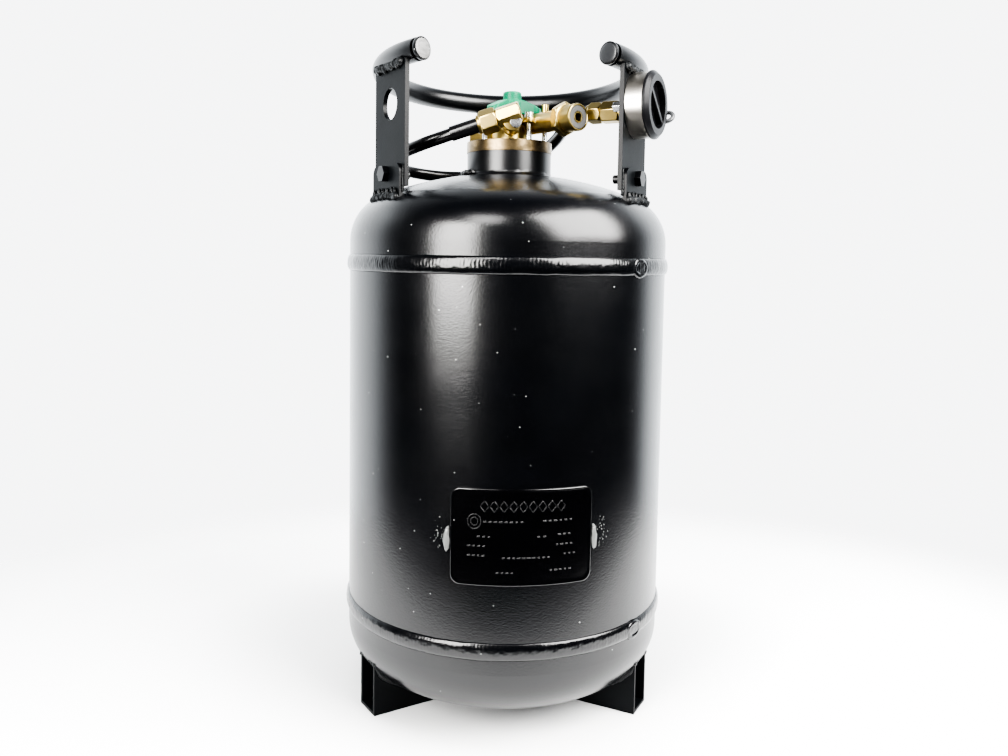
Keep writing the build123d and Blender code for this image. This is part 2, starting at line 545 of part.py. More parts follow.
def make_fill_point():
    nodes = {}
    strap_outer = STRAP_INNER + STRAP_T
    barrel = polar_rod(FILL_AZ, strap_outer, BARREL_FRONT, BARREL_R, FILL_Z)
    barrel -= polar_rod(FILL_AZ, strap_outer + 3, BARREL_FRONT + 1, BARREL_R - 2.5, FILL_Z)
    barrel -= polar_rod(FILL_AZ, strap_outer - 1, strap_outer + 4, 8.0, FILL_LINE_Z)
    screws = []
    for offset, z in FILL_SCREW_SPOTS:
        barrel -= polar_rod(FILL_AZ, strap_outer - 1, strap_outer + 4, 2.0, z, offset)
        screw = polar_rod(FILL_AZ, STRAP_INNER - 9.5, strap_outer + 3, 2.0, z, offset)
        screw += polar_rod(FILL_AZ, strap_outer + 3, strap_outer + 5, 3.6, z, offset)
        screw += polar_hex(FILL_AZ, STRAP_INNER - 8.5, STRAP_INNER, 8.0, z, offset)
        screws.append(screw)
    nodes["fill_barrel"] = barrel
    nodes["fill_point_screws"] = screws
    adapter = polar_hex(FILL_AZ, FILL_NUT_OUTER, 112, 18.0, FILL_LINE_Z)
    adapter += polar_rod(FILL_AZ, 112, strap_outer + 3, 8.0, FILL_LINE_Z)
    adapter += polar_rod(FILL_AZ, strap_outer + 3, 137, 10.5, FILL_LINE_Z)
    adapter -= polar_rod(FILL_AZ, 90, 112, 3.0, FILL_LINE_Z)
    adapter -= polar_rod(FILL_AZ, 111, 134, 4.6, FILL_LINE_Z)
    adapter -= polar_rod(FILL_AZ, 133, 140, 2.8, FILL_LINE_Z)
    nodes["fill_adapter"] = adapter
    nodes["fill_poppet"] = polar_rod(FILL_AZ, 129.5, 133.95, 4.6 - RUNNING, FILL_LINE_Z) + polar_rod(
        FILL_AZ, 133, 137.5, 2.2, FILL_LINE_Z)
    spring_start = radial(FILL_AZ) * 112.7 + Vector(0, 0, FILL_LINE_Z)
    nodes["fill_spring"] = coil_spring(spring_start, radial(FILL_AZ), 3.6, 0.6, 16.1, 6)
    nut = polar_hex(FILL_AZ, FILL_NUT_INNER, FILL_NUT_OUTER, HOSE_NUT_AF, FILL_LINE_Z)
    nodes["fill_hose_nut"] = nut - polar_rod(FILL_AZ, 70, 120, HOSE_R, FILL_LINE_Z)
    cap = polar_rod(FILL_AZ, BARREL_FRONT + 0.4, CAP_FRONT, CAP_R, FILL_Z)
    rim = [e for e in cap.edges() if e.geom_type == GeomType.CIRCLE]
    rim.sort(key=lambda e: e.center().length)
    cap = chamfer(rim[-1], 3.5)
    cap += polar_rod(FILL_AZ, 138.4, BARREL_FRONT + 1, 26.0, FILL_Z)
    cap -= polar_rod(FILL_AZ, 141.0, CAP_FRONT + 1, 20.5, FILL_Z)
    grip = Box(5.0, 41.5, 4.0)
    at = radial(FILL_AZ) * 143.4 + Vector(0, 0, FILL_Z)
    cap += Pos(at.X, at.Y, at.Z) * Rot(0, 0, FILL_AZ) * Rot(-40, 0, 0) * grip
    nodes["fill_cap"] = cap
    loop_at = radial(FILL_AZ) * 144 + tangent(FILL_AZ) * 33.0 + Vector(0, 0, FILL_Z - 6)
    loop = Rot(0, 0, FILL_AZ) * Rot(50, 0, 0) * Torus(6.0, 2.0)
    nodes["cap_tether"] = Pos(loop_at.X, loop_at.Y, loop_at.Z) * loop - cap
    return nodes


# ---------------------------------------------------------------- contents gauge
def make_gauge():
    nodes = {}
    strip = Pos(GAUGE_X, GAUGE_Y - 10, 380) * Box(10, 2, 244)
    tab = Pos(GAUGE_X, GAUGE_Y - 1.5, 283) * Box(10, 17, 2)
    strip += tab - standing_rod(GAUGE_X, GAUGE_Y, 280, 286, 1.5 + RUNNING)
    pin = rod(Vector(GAUGE_X, GAUGE_Y - 10, HINGE_Z), Vector(0, 1, 0), 2.0, 23)
    nodes["float_bracket"] = strip + pin
    droop = Pos(GAUGE_X, 0, HINGE_Z) * Rot(0, ARM_DROOP, 0)
    hub = rod(Vector(0, GAUGE_Y + 7, 0), Vector(0, 1, 0), 4.5, 5)
    arm = hub + rod(Vector(3, GAUGE_Y + 9.5, 0), Vector(1, 0, 0), 1.5, ARM_LENGTH)
    arm -= rod(Vector(0, 0, 0), Vector(0, 1, 0), 2.0 + RUNNING, 60)
    nodes["float_arm"] = droop * arm
    gear = Pos(0, GAUGE_Y + 5.5, 0) * Rot(-90, 0, 0) * Cone(4.0, 7.0, 3.0)
    gear -= rod(Vector(0, 0, 0), Vector(0, 1, 0), 2.0 + RUNNING, 60)
    nodes["float_gear"] = droop * gear
    buoy = rod(Vector(ARM_LENGTH, GAUGE_Y + 9.5 - FLOAT_L / 2, 0), Vector(0, 1, 0), FLOAT_R, FLOAT_L)
    buoy -= rod(Vector(3, GAUGE_Y + 9.5, 0), Vector(1, 0, 0), 1.5, ARM_LENGTH)
    nodes["float"] = droop * buoy
    shaft = standing_rod(GAUGE_X, GAUGE_Y, 274.6, 539.0, 1.5)
    shaft += Pos(GAUGE_X, GAUGE_Y, HINGE_Z + 5.9) * Cone(4.0, 7.0, 3.0)
    nodes["gauge_shaft"] = shaft + standing_rod(GAUGE_X, GAUGE_Y, 535.0, 539.2, 2.8)
    dial = ring_plate(GAUGE_X, GAUGE_Y, DECK_TOP_Z, 546.2, 7.5, 6.3)
    dial += standing_rod(GAUGE_X, GAUGE_Y, DECK_TOP_Z, 543.3, 7.0)
    dial += standing_rod(GAUGE_X, GAUGE_Y, DECK_TOP_Z, 544.6, 0.6)
    nodes["gauge_dial"] = dial
    nodes["gauge_lens"] = standing_rod(GAUGE_X, GAUGE_Y, 545.2, 546.0, 6.3)
    pointer = standing_rod(GAUGE_X, GAUGE_Y, 543.6, 544.6, 1.6) + Pos(
        GAUGE_X + 2.2, GAUGE_Y, 544.1) * Box(5.4, 0.9, 0.6)
    nodes["gauge_pointer"] = pointer - standing_rod(GAUGE_X, GAUGE_Y, 540, 546, 0.6 + RUNNING)
    return nodes


def as_shape(item):
    if isinstance(item, list):
        return Compound(children=[solid for piece in item for solid in piece.solids()])
    return item


def main():
    nodes = {}
    for maker in (make_vessel, make_feet, make_rating_plate, make_handle, make_multivalve,
                  make_inlet, make_fill_hose, make_fill_point, make_gauge):
        nodes.update(maker())
    os.makedirs("parts", exist_ok=True)
    for name, item in nodes.items():
        export_step(as_shape(item), f"parts/{name}.step")
    print(len(nodes), "nodes")


main()
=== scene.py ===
import json
import math
import random

import bmesh
import bpy
from mathutils import Euler, Matrix, Vector, noise


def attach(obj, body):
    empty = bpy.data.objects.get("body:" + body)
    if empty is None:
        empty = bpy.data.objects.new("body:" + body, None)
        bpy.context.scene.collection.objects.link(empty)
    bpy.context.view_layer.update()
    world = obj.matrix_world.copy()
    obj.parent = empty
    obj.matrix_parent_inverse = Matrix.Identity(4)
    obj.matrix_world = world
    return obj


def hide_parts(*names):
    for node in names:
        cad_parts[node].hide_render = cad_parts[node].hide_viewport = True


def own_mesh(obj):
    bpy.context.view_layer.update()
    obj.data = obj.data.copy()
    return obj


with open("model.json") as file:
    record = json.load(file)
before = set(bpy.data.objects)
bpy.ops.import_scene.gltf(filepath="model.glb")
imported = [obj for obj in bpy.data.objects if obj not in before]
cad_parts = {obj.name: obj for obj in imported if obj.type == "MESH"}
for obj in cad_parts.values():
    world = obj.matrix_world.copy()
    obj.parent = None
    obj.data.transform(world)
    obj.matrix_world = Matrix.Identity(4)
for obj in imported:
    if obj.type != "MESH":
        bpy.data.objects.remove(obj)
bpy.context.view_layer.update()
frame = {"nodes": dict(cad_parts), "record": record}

MM = 0.001
TANK_R = 0.150
OUTLET_AZ = -54.0
FILL_AZ = -30.0
HEAD_Z = 0.4275           # where the upper head's knuckle starts
LOWER_HEAD_Z = 0.0680     # where the lower head's knuckle starts
KNUCKLE_R = 0.046
KNUCKLE_AXIS = 0.104
KNUCKLE_END = 0.1209
CROWN_R = 0.330
CROWN_DROP = 0.2643
CRADLE_AZ = {"left": -150.0, "right": FILL_AZ, "rear": 90.0}     # straps, lugs and feet
RING_R = 0.120
RING_Z = 0.585
RING_TILT = 3.0


def radial(az, r=1.0, z=0.0):
    a = math.radians(az)
    return Vector((r * math.cos(a), r * math.sin(a), z))


def tangent(az):
    a = math.radians(az)
    return Vector((-math.sin(a), math.cos(a), 0.0))


# ------------------------------------------------------------------ camera
def make_camera():
    """A wide lens in front of the tank, a little above its middle, almost level."""
    data = bpy.data.cameras.new("camera")
    data.sensor_width = 36.0
    data.lens = 31.946
    data.shift_y = -0.0523
    data.clip_start = 0.01
    cam = bpy.data.objects.new("camera", data)
    bpy.context.scene.collection.objects.link(cam)
    place = Matrix.Translation((-0.0408, -0.8658, 0.4142))
    turn = Euler([math.radians(angle) for angle in (85.647, -0.898, -2.470)])
    cam.matrix_world = place @ turn.to_matrix().to_4x4()
    bpy.context.scene.camera = cam


make_camera()


# ------------------------------------------------------------------ materials
def map_range(nt, value, a, b, lo, hi):
    """A smooth step from lo to hi while value goes from a to b."""
    r = nt.nodes.new("ShaderNodeMapRange")
    r.interpolation_type = "SMOOTHSTEP"
    r.inputs["From Min"].default_value = a
    r.inputs["From Max"].default_value = b
    r.inputs["To Min"].default_value = lo
    r.inputs["To Max"].default_value = hi
    nt.links.new(value, r.inputs["Value"])
    return r.outputs["Result"]


class Mat:
    """A small builder of node materials in object space (metres)."""

    def __init__(self, name):
        self.m = bpy.data.materials.new(name)
        self.m.use_nodes = True
        self.nt = self.m.node_tree
        self.bsdf = self.nt.nodes["Principled BSDF"]
        coords = self.nt.nodes.new("ShaderNodeTexCoord")
        self.vec = coords.outputs["Object"]

    def set(self, **kw):
        for k, v in kw.items():
            self.bsdf.inputs[k.replace("_", " ")].default_value = v
        return self

    def link(self, a, b):
        self.nt.links.new(a, b)

    def noise(self, scale, detail=3.0, rough=0.55, distortion=0.0, stretch=None):
        n = self.nt.nodes.new("ShaderNodeTexNoise")
        n.inputs["Scale"].default_value = scale
        n.inputs["Detail"].default_value = detail
        n.inputs["Roughness"].default_value = rough
        n.inputs["Distortion"].default_value = distortion
        self.link(self.stretched(stretch), n.inputs["Vector"])
        return n.outputs["Fac"]

    def stretched(self, stretch):
        if stretch is None:
            return self.vec
        mp = self.nt.nodes.new("ShaderNodeMapping")
        mp.inputs["Scale"].default_value = stretch
        self.link(self.vec, mp.inputs["Vector"])
        return mp.outputs["Vector"]

    def ramp(self, fac, a, b, lo=0.0, hi=1.0):
        return map_range(self.nt, fac, a, b, lo, hi)

    def math(self, op, a, b=None):
        n = self.nt.nodes.new("ShaderNodeMath")
        n.operation = op
        for i, v in enumerate((a, b)):
            if v is None:
                continue
            if isinstance(v, (int, float)):
                n.inputs[i].default_value = v
            else:
                self.link(v, n.inputs[i])
        return n.outputs[0]

    def specks(self, scale, radius, share):
        """Sparse small dots: 1 inside a dot."""
        v = self.nt.nodes.new("ShaderNodeTexVoronoi")
        v.inputs["Scale"].default_value = scale
        self.link(self.vec, v.inputs["Vector"])
        near = self.math("LESS_THAN", v.outputs["Distance"], radius)
        split = self.nt.nodes.new("ShaderNodeSeparateColor")
        self.link(v.outputs["Color"], split.inputs["Color"])
        few = self.math("LESS_THAN", split.outputs["Red"], share)
        return self.math("MULTIPLY", near, few)

    def mix(self, fac, a, b):
        n = self.nt.nodes.new("ShaderNodeMix")
        n.data_type = "RGBA"
        if isinstance(fac, (int, float)):
            n.inputs["Factor"].default_value = fac
        else:
            self.link(fac, n.inputs["Factor"])
        for v, s in ((a, n.inputs[6]), (b, n.inputs[7])):
            if isinstance(v, tuple):
                s.default_value = (*v, 1.0)
            else:
                self.link(v, s)
        return n.outputs[2]

    def colour(self, socket):
        self.link(socket, self.bsdf.inputs["Base Color"])
        return self

    def rough(self, socket):
        self.link(socket, self.bsdf.inputs["Roughness"])
        return self

    def bump(self, *layers):
        """layers: (height socket, strength, distance in metres)."""
        last = None
        for height, strength, distance in layers:
            b = self.nt.nodes.new("ShaderNodeBump")
            b.inputs["Strength"].default_value = strength
            b.inputs["Distance"].default_value = distance
            self.link(height, b.inputs["Height"])
            if last is not None:
                self.link(last, b.inputs["Normal"])
            last = b.outputs["Normal"]
        self.link(last, self.bsdf.inputs["Normal"])
        return self


def black_paint(name, rough=0.27, peel=0.35, dust=True, base=(0.0007, 0.0009, 0.0014), gloss=0.5):
    m = Mat(name)
    m.set(IOR=1.5)
    m.bsdf.inputs["Specular IOR Level"].default_value = gloss
    speck = m.specks(85.0, 0.045, 0.13 if dust else 0.03)
    fine = m.specks(210.0, 0.08, 0.06 if dust else 0.01)
    dots = m.math("MAXIMUM", speck, fine)
    cloud = m.noise(14.0, 4.0)
    lighter = tuple(c * 1.5 for c in base)
    body = m.mix(m.ramp(cloud, 0.35, 0.75), base, lighter)
    m.colour(m.mix(dots, body, (0.42, 0.43, 0.42)))
    wear = m.noise(24.0, 5.0, 0.6)
    m.rough(m.ramp(wear, 0.2, 0.9, rough - 0.02, rough + 0.03))
    m.bump(
        (m.noise(620.0, 2.0, 0.5), peel, 0.00012),
        (m.noise(60.0, 2.0, 0.5), 0.12, 0.0002),
        (dots, 0.4, 0.0002),
    )
    return m.m


def metal(name, light, dark, rough, scale=60.0, bump=0.12, stretch=None, metallic=1.0, spread=0.05):
    m = Mat(name)
    m.set(Metallic=metallic)
    patches = m.noise(scale, 4.0, 0.55, 0.2, stretch)
    m.colour(m.mix(m.ramp(patches, 0.3, 0.75), light, dark))
    fine = m.noise(scale * 6.0, 2.0, 0.5, 0.0, stretch)
    m.rough(m.ramp(patches, 0.3, 0.75, rough - spread, rough + spread))
    m.bump((fine, bump, 0.00002), (patches, bump, 0.0001))
    return m.m


def plastic(name, base, rough=0.38, grain=0.12, gloss=0.5):
    m = Mat(name)
    m.bsdf.inputs["Specular IOR Level"].default_value = gloss
    cloud = m.noise(45.0, 4.0)
    deeper = tuple(c * 0.8 for c in base)
    m.colour(m.mix(m.ramp(cloud, 0.35, 0.75), base, deeper))
    fine = m.noise(900.0, 2.0)
    m.rough(m.ramp(cloud, 0.3, 0.8, rough - 0.05, rough + 0.08))
    m.bump((fine, grain, 0.00004), (m.noise(120.0, 2.0), 0.1, 0.0001))
    return m.m


PAINT = black_paint("black_paint", rough=0.24, peel=0.7)
PAINT_SMOOTH = black_paint("black_paint_parts", rough=0.3, peel=0.2, dust=False)
PAINT_WELD = black_paint("black_paint_weld", rough=0.22, peel=0.5, dust=False)
PAINT_PLATE = black_paint(
    "black_paint_plate", rough=0.16, peel=0.2, dust=False, base=(0.0006, 0.0006, 0.0009),
)
PAINT_STRAP = black_paint(
    "black_paint_strap", rough=0.46, peel=0.5, dust=False, base=(0.002, 0.0025, 0.003), gloss=0.075,
)
PAINT_EDGE = black_paint("black_paint_edge", rough=0.24, peel=0.3, dust=False)
PAINT_SIDE = black_paint("black_paint_side", rough=0.34, peel=0.5, dust=False, gloss=0.16)
PAINT_BOLT = black_paint("black_fasteners", rough=0.3, peel=0.2, dust=False, gloss=0.25)
PAINT_TACK = black_paint(
    "black_paint_tack", rough=0.34, peel=0.5, dust=False, base=(0.085, 0.088, 0.086), gloss=0.7,
)
PAINT_BEAD = black_paint(
    "black_paint_bead", rough=0.42, peel=0.6, dust=False, base=(0.003, 0.0035, 0.004), gloss=0.26,
)
BRASS = metal("valve_brass", (0.52, 0.405, 0.165), (0.44, 0.33, 0.12), 0.31, 40.0, 0.02, None, 1.0, 0.03)
BRASS_DULL = metal(
    "valve_brass_dull", (0.36, 0.28, 0.115), (0.29, 0.215, 0.08), 0.31, 40.0, 0.02, None, 1.0, 0.03,
)
BRONZE = metal(
    "bronze_flange", (0.21, 0.155, 0.085), (0.06, 0.046, 0.026), 0.36, 70.0, 0.2, (1.0, 1.0, 1.6), 1.0, 0.1,
)
ZINC = metal("zinc_steel", (0.70, 0.71, 0.73), (0.58, 0.59, 0.61), 0.28, 60.0, 0.05)
STAINLESS = metal("stainless", (0.42, 0.40, 0.37), (0.25, 0.24, 0.22), 0.34, 30.0, 0.06, (1.0, 1.0, 0.7))
GREEN = plastic("green_plastic", (0.0, 0.13, 0.066), 0.4, gloss=0.2)
CAP_BLACK = plastic("black_plastic", (0.005, 0.005, 0.006), 0.38, gloss=0.18)
TETHER = plastic("grey_plastic", (0.06, 0.062, 0.065), 0.35)
RUBBER = plastic("hose_rubber", (0.004, 0.004, 0.0045), 0.22, 0.06)
GASKET = plastic("gasket_rubber", (0.085, 0.085, 0.082), 0.6, gloss=0.25)
SEAL = plastic("seal_rubber", (0.02, 0.016, 0.012), 0.5)
RED = plastic("red_plastic", (0.5, 0.03, 0.02), 0.4)
DIAL = plastic("gauge_white", (0.7, 0.7, 0.68), 0.45)
GROUND = metal(
    "ground_steel", (0.17, 0.17, 0.167), (0.10, 0.10, 0.098), 0.55, 160.0, 0.4, (1.0, 1.0, 3.0), 0.3,
)
# Painted shade: the right ring end's face gets this darker material in place of the left end's ground
# steel, to stand for the shade on it.
RING_END_PAINTED_SHADE = plastic("dark_ring_end", (0.02, 0.021, 0.023), 0.32)


def lens_material():
    m = Mat("clear_lens")
    m.set(Roughness=0.06, IOR=1.45)
    m.bsdf.inputs["Transmission Weight"].default_value = 1.0
    m.colour(m.mix(m.ramp(m.noise(80.0), 0.3, 0.8), (0.95, 0.97, 0.96), (0.85, 0.88, 0.87)))
    return m.m


LENS = lens_material()

CAD_MATERIALS = {
    "shell_cylinder": PAINT, "upper_head": PAINT, "lower_head": PAINT, "neck_collar": PAINT_SMOOTH,
    "foot_front_left": PAINT_STRAP, "foot_front_right": PAINT_STRAP, "foot_rear": PAINT_STRAP,
    "strap_left": PAINT_STRAP, "strap_right": PAINT_STRAP, "strap_rear": PAINT_STRAP,
    "handle_lugs": PAINT_STRAP, "handle_ring": PAINT_SMOOTH, "handle_welds": PAINT_WELD,
    "foot_welds": PAINT_WELD, "neck_weld": PAINT_WELD, "upper_girth_weld": PAINT_WELD,
    "lower_girth_weld": PAINT_WELD, "plate_tack_welds": PAINT_WELD, "rating_plate": PAINT_SMOOTH,
    "lug_bolts": PAINT_BOLT, "lug_nuts": PAINT_BOLT, "ring_end_caps": GROUND,
    "neck_flange_ring": BRONZE, "valve_body": BRASS, "bonnet_nut": BRASS, "relief_cap": BRASS,
    "outlet_adapter": BRASS, "inlet_elbow": BRASS, "inlet_nut": BRASS, "fill_adapter": BRASS_DULL,
    "fill_hose_nut": BRASS_DULL, "valve_screws": ZINC, "inlet_stud": ZINC, "fill_point_screws": ZINC,
    "float_bracket": ZINC, "dip_tube": BRASS_DULL, "valve_spindle": STAINLESS, "gauge_shaft": STAINLESS,
    "relief_spring": STAINLESS, "fill_spring": STAINLESS, "fill_barrel": STAINLESS,
    "float_arm": STAINLESS, "valve_plug": BRASS, "relief_plug": BRASS, "inlet_plunger": BRASS,
    "fill_poppet": BRASS, "bleed_screw": BRASS, "valve_o_ring": SEAL, "stem_packing": SEAL,
    "outlet_gasket": GASKET, "fill_hose": RUBBER, "hose_sleeve": RUBBER, "handwheel": GREEN,
    "fill_cap": CAP_BLACK, "cap_tether": TETHER, "float": TETHER, "float_gear": TETHER,
    "gauge_dial": DIAL, "gauge_pointer": RED, "gauge_lens": LENS,
}

for node, obj in frame["nodes"].items():
    material = CAD_MATERIALS.get(node, PAINT_SMOOTH)
    for slot in obj.material_slots:
        slot.material = material
    if not obj.material_slots:
        obj.data.materials.append(material)

BODY_OF = {n: b for b, ns in frame["record"]["behaviour"]["bodies"].items() for n in ns}


# ------------------------------------------------------------------ fill hose
ARM_START = Vector((0.0073, -0.0480, 0.5460))
ARM_END = Vector((-0.0306, -0.0410, 0.5336))
ARM_DIR = (ARM_END - ARM_START).normalized()
FILL_DIR = radial(FILL_AZ)
FILL_LINE_Z = 0.546
HOSE_R = 0.0058


def hose_points():
    start = ARM_END - ARM_DIR * 0.014
    bend = ARM_END + ARM_DIR * 0.040
    middle = [
        (-90, -21, 514.5), (-107, 0, 509.5), (-112, 25, 504.5), (-105, 50, 500), (-85, 67, 497.5),
        (-58, 74, 496), (-30, 74, 497), (-3, 68, 502.5), (21, 56, 511.5), (40, 39, 523),
        (50.5, 17, 533.5), (53, -5, 541.5), (55, -22, 545.3),
    ]
    last_bend = FILL_DIR * 0.071 + Vector((0, 0, FILL_LINE_Z))
    end = FILL_DIR * 0.0905 + Vector((0, 0, FILL_LINE_Z))
    return [start, bend] + [Vector(p) * MM for p in middle] + [last_bend, end]


def make_hose():
    pts = hose_points()
    curve = bpy.data.curves.new("fill_hose_line", "CURVE")
    curve.dimensions = "3D"
    spline = curve.splines.new("NURBS")
    spline.points.add(len(pts) - 1)
    for p, co in zip(spline.points, pts):
        p.co = (*co, 1.0)
    spline.order_u = 3
    spline.use_endpoint_u = True
    spline.resolution_u = 16
    curve.bevel_depth = HOSE_R
    curve.bevel_resolution = 8
    curve.use_fill_caps = True
    hose = bpy.data.objects.new("fill_hose_line", curve)
    bpy.context.scene.collection.objects.link(hose)
    hose.data.materials.append(RUBBER)
    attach(hose, "tank")
    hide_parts("fill_hose")


make_hose()


# ------------------------------------------------------------------ mesh helpers
def add_object(name, verts, faces, material, body, replaced=(), sharp=None):
    """A piece from vertices and faces, with vertices that coincide made one."""
    me = bpy.data.meshes.new(name)
    me.from_pydata([tuple(v) for v in verts], [], faces)
    me.validate()
    bm = bmesh.new()
    bm.from_mesh(me)
    bmesh.ops.remove_doubles(bm, verts=bm.verts, dist=1e-7)
    bm.to_mesh(me)
    bm.free()
    return add_mesh(name, me, material, body, replaced, sharp)


def add_mesh(name, me, material, body, replaced=(), sharp=None):
    obj = bpy.data.objects.new(name, me)
    bpy.context.scene.collection.objects.link(obj)
    me.materials.clear()
    me.materials.append(material)
    me.shade_smooth()
    if sharp is not None:
        me.set_sharp_from_angle(angle=math.radians(sharp))
    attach(obj, body)
    if replaced:
        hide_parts(*replaced)
    return obj


def node_bmesh(node):
    """A welded copy of a CAD node's mesh, its flat faces merged."""
    bm = bmesh.new()
    bm.from_mesh(frame["nodes"][node].data)
    for layer in list(bm.loops.layers.uv.values()):
        bm.loops.layers.uv.remove(layer)
    bmesh.ops.remove_doubles(bm, verts=bm.verts, dist=2e-6)
    bmesh.ops.dissolve_limit(bm, angle_limit=math.radians(0.6), verts=bm.verts, edges=bm.edges)
    return bm


def clean_mesh(name, bm):
    """A mesh that holds a bmesh's vertices and faces and nothing else."""
    verts = [v.co.copy() for v in bm.verts]
    bm.verts.index_update()
    faces = [[v.index for v in f.verts] for f in bm.faces]
    me = bpy.data.meshes.new(name)
    me.from_pydata(verts, [], faces)
    me.validate()
    bm.free()
    return me


def copy_of(node, suffix):
    """A piece with a CAD node's shape, material and body, which stands for the node."""
    me = clean_mesh(node + suffix, node_bmesh(node))
    return add_mesh(me.name, me, CAD_MATERIALS[node], BODY_OF[node], (node,))


def bevelled(node, width, segments=2, angle=32.0):
    """A copy of a CAD node with its edges rounded."""
    obj = copy_of(node, "_rounded")
    mod = obj.modifiers.new("edges", "BEVEL")
    mod.width = width
    mod.segments = segments
    mod.limit_method = "ANGLE"
    mod.angle_limit = math.radians(angle)
    mod.use_clamp_overlap = True
    weigh = obj.modifiers.new("flat_faces", "WEIGHTED_NORMAL")
    weigh.mode = "FACE_AREA"
    weigh.weight = 100
    bake(obj)
    return obj


def bake(obj):
    """Turns the modifiers' result into the object's own mesh."""
    deps = bpy.context.evaluated_depsgraph_get()
    deps.update()
    new = bpy.data.meshes.new_from_object(obj.evaluated_get(deps), depsgraph=deps)
    old = obj.data
    obj.modifiers.clear()
    name = old.name
    obj.data = new
    bpy.data.meshes.remove(old)
    new.name = name
    return obj


def remeshed(node, voxel, rounds):
    """A copy of a CAD node with the soft edges of a casting."""
    obj = copy_of(node, "_cast")
    mod = obj.modifiers.new("voxels", "REMESH")
    mod.mode = "VOXEL"
    mod.voxel_size = voxel
    mod.use_smooth_shade = True
    soft = obj.modifiers.new("soft", "SMOOTH")
    soft.iterations = rounds
    soft.factor = 0.5
    bake(obj)
    obj.data.shade_smooth()
    return obj


def dome_z(r):
    """Height of the upper head's outside at radius r."""
    if r >= KNUCKLE_END:
        return HEAD_Z + math.sqrt(max(0.0, KNUCKLE_R ** 2 - (r - KNUCKLE_AXIS) ** 2))
    return HEAD_Z - CROWN_DROP + math.sqrt(CROWN_R ** 2 - r * r)


def under_z(r):
    """Height of the lower head's outside at radius r."""
    return LOWER_HEAD_Z + HEAD_Z - dome_z(r)


def lumpy(points, radius, seed, lumps=0.28, ripple=0.10, sides=12, pitch=0.0028, up=None):
    """Verts and faces of an uneven weld bead along points."""
    verts = []
    faces = []
    count = len(points)
    run = 0.0
    for i, p in enumerate(points):
        ahead = (points[min(i + 1, count - 1)] - points[max(i - 1, 0)]).normalized()
        if i:
            run += (p - points[i - 1]).length
        side = ahead.cross(up or Vector((0, 0, 1))).normalized()
        top = side.cross(ahead).normalized()
        taper = min(1.0, 0.25 + 1.1 * math.sin(math.pi * min(1.0, (i + 0.3) / 6)) ** 0.5) if i < 4 else 1.0
        k = count - 1 - i
        if k < 4:
            taper = min(taper, 0.25 + 0.75 * (k / 4.0) ** 0.5)
        for j in range(sides):
            a = 2 * math.pi * j / sides
            at = p + side * (math.cos(a) * radius) + top * (math.sin(a) * radius)
            n = noise.noise(at * 190.0 + Vector((seed, 0, 0)))
            n2 = noise.noise(at * 520.0 + Vector((0, seed, 0)))
            wave = math.sin(2 * math.pi * (run / pitch) + 1.2 * math.cos(a))
            r = radius * taper * (1 + lumps * n + 0.5 * lumps * n2 + ripple * wave)
            verts.append(p + side * (math.cos(a) * r) + top * (math.sin(a) * r))
    for i in range(count - 1):
        for j in range(sides):
            k = (j + 1) % sides
            faces.append((i * sides + j, i * sides + k, (i + 1) * sides + k, (i + 1) * sides + j))
    faces.append(tuple(range(sides - 1, -1, -1)))
    last = (count - 1) * sides
    faces.append(tuple(range(last, last + sides)))
    return verts, faces


def merged(parts):
    """The vertices and faces of several shapes as one."""
    verts = []
    faces = []
    for v, f in parts:
        base = len(verts)
        verts += v
        faces += [tuple(i + base for i in face) for face in f]
    return verts, faces


def blob(centre, size, seed, rings=10, sides=16, lumps=0.3, axes=None):
    """An uneven ball, size along the three axes."""
    ax, ay, az = axes or (Vector((1, 0, 0)), Vector((0, 1, 0)), Vector((0, 0, 1)))
    verts = []
    faces = []
    for i in range(rings + 1):
        t = math.pi * i / rings
        for j in range(sides):
            a = 2 * math.pi * j / sides
            d = Vector((math.sin(t) * math.cos(a), math.sin(t) * math.sin(a), math.cos(t)))
            k = 1 + lumps * noise.noise(d * 1.7 + Vector((seed, seed * 0.7, 0)))
            k += 0.35 * lumps * noise.noise(d * 5.0 + Vector((0, seed, seed)))
            d = Vector((d.x * size[0], d.y * size[1], d.z * size[2])) * k
            verts.append(centre + ax * d.x + ay * d.y + az * d.z)
    for i in range(rings):
        for j in range(sides):
            k = (j + 1) % sides
            faces.append((i * sides + j, (i + 1) * sides + j, (i + 1) * sides + k, i * sides + k))
    return verts, faces


def line(a, b, step):
    """Points from a to b, about step apart."""
    n = max(2, int((b - a).length / step))
    return [a.lerp(b, i / n) for i in range(n + 1)]


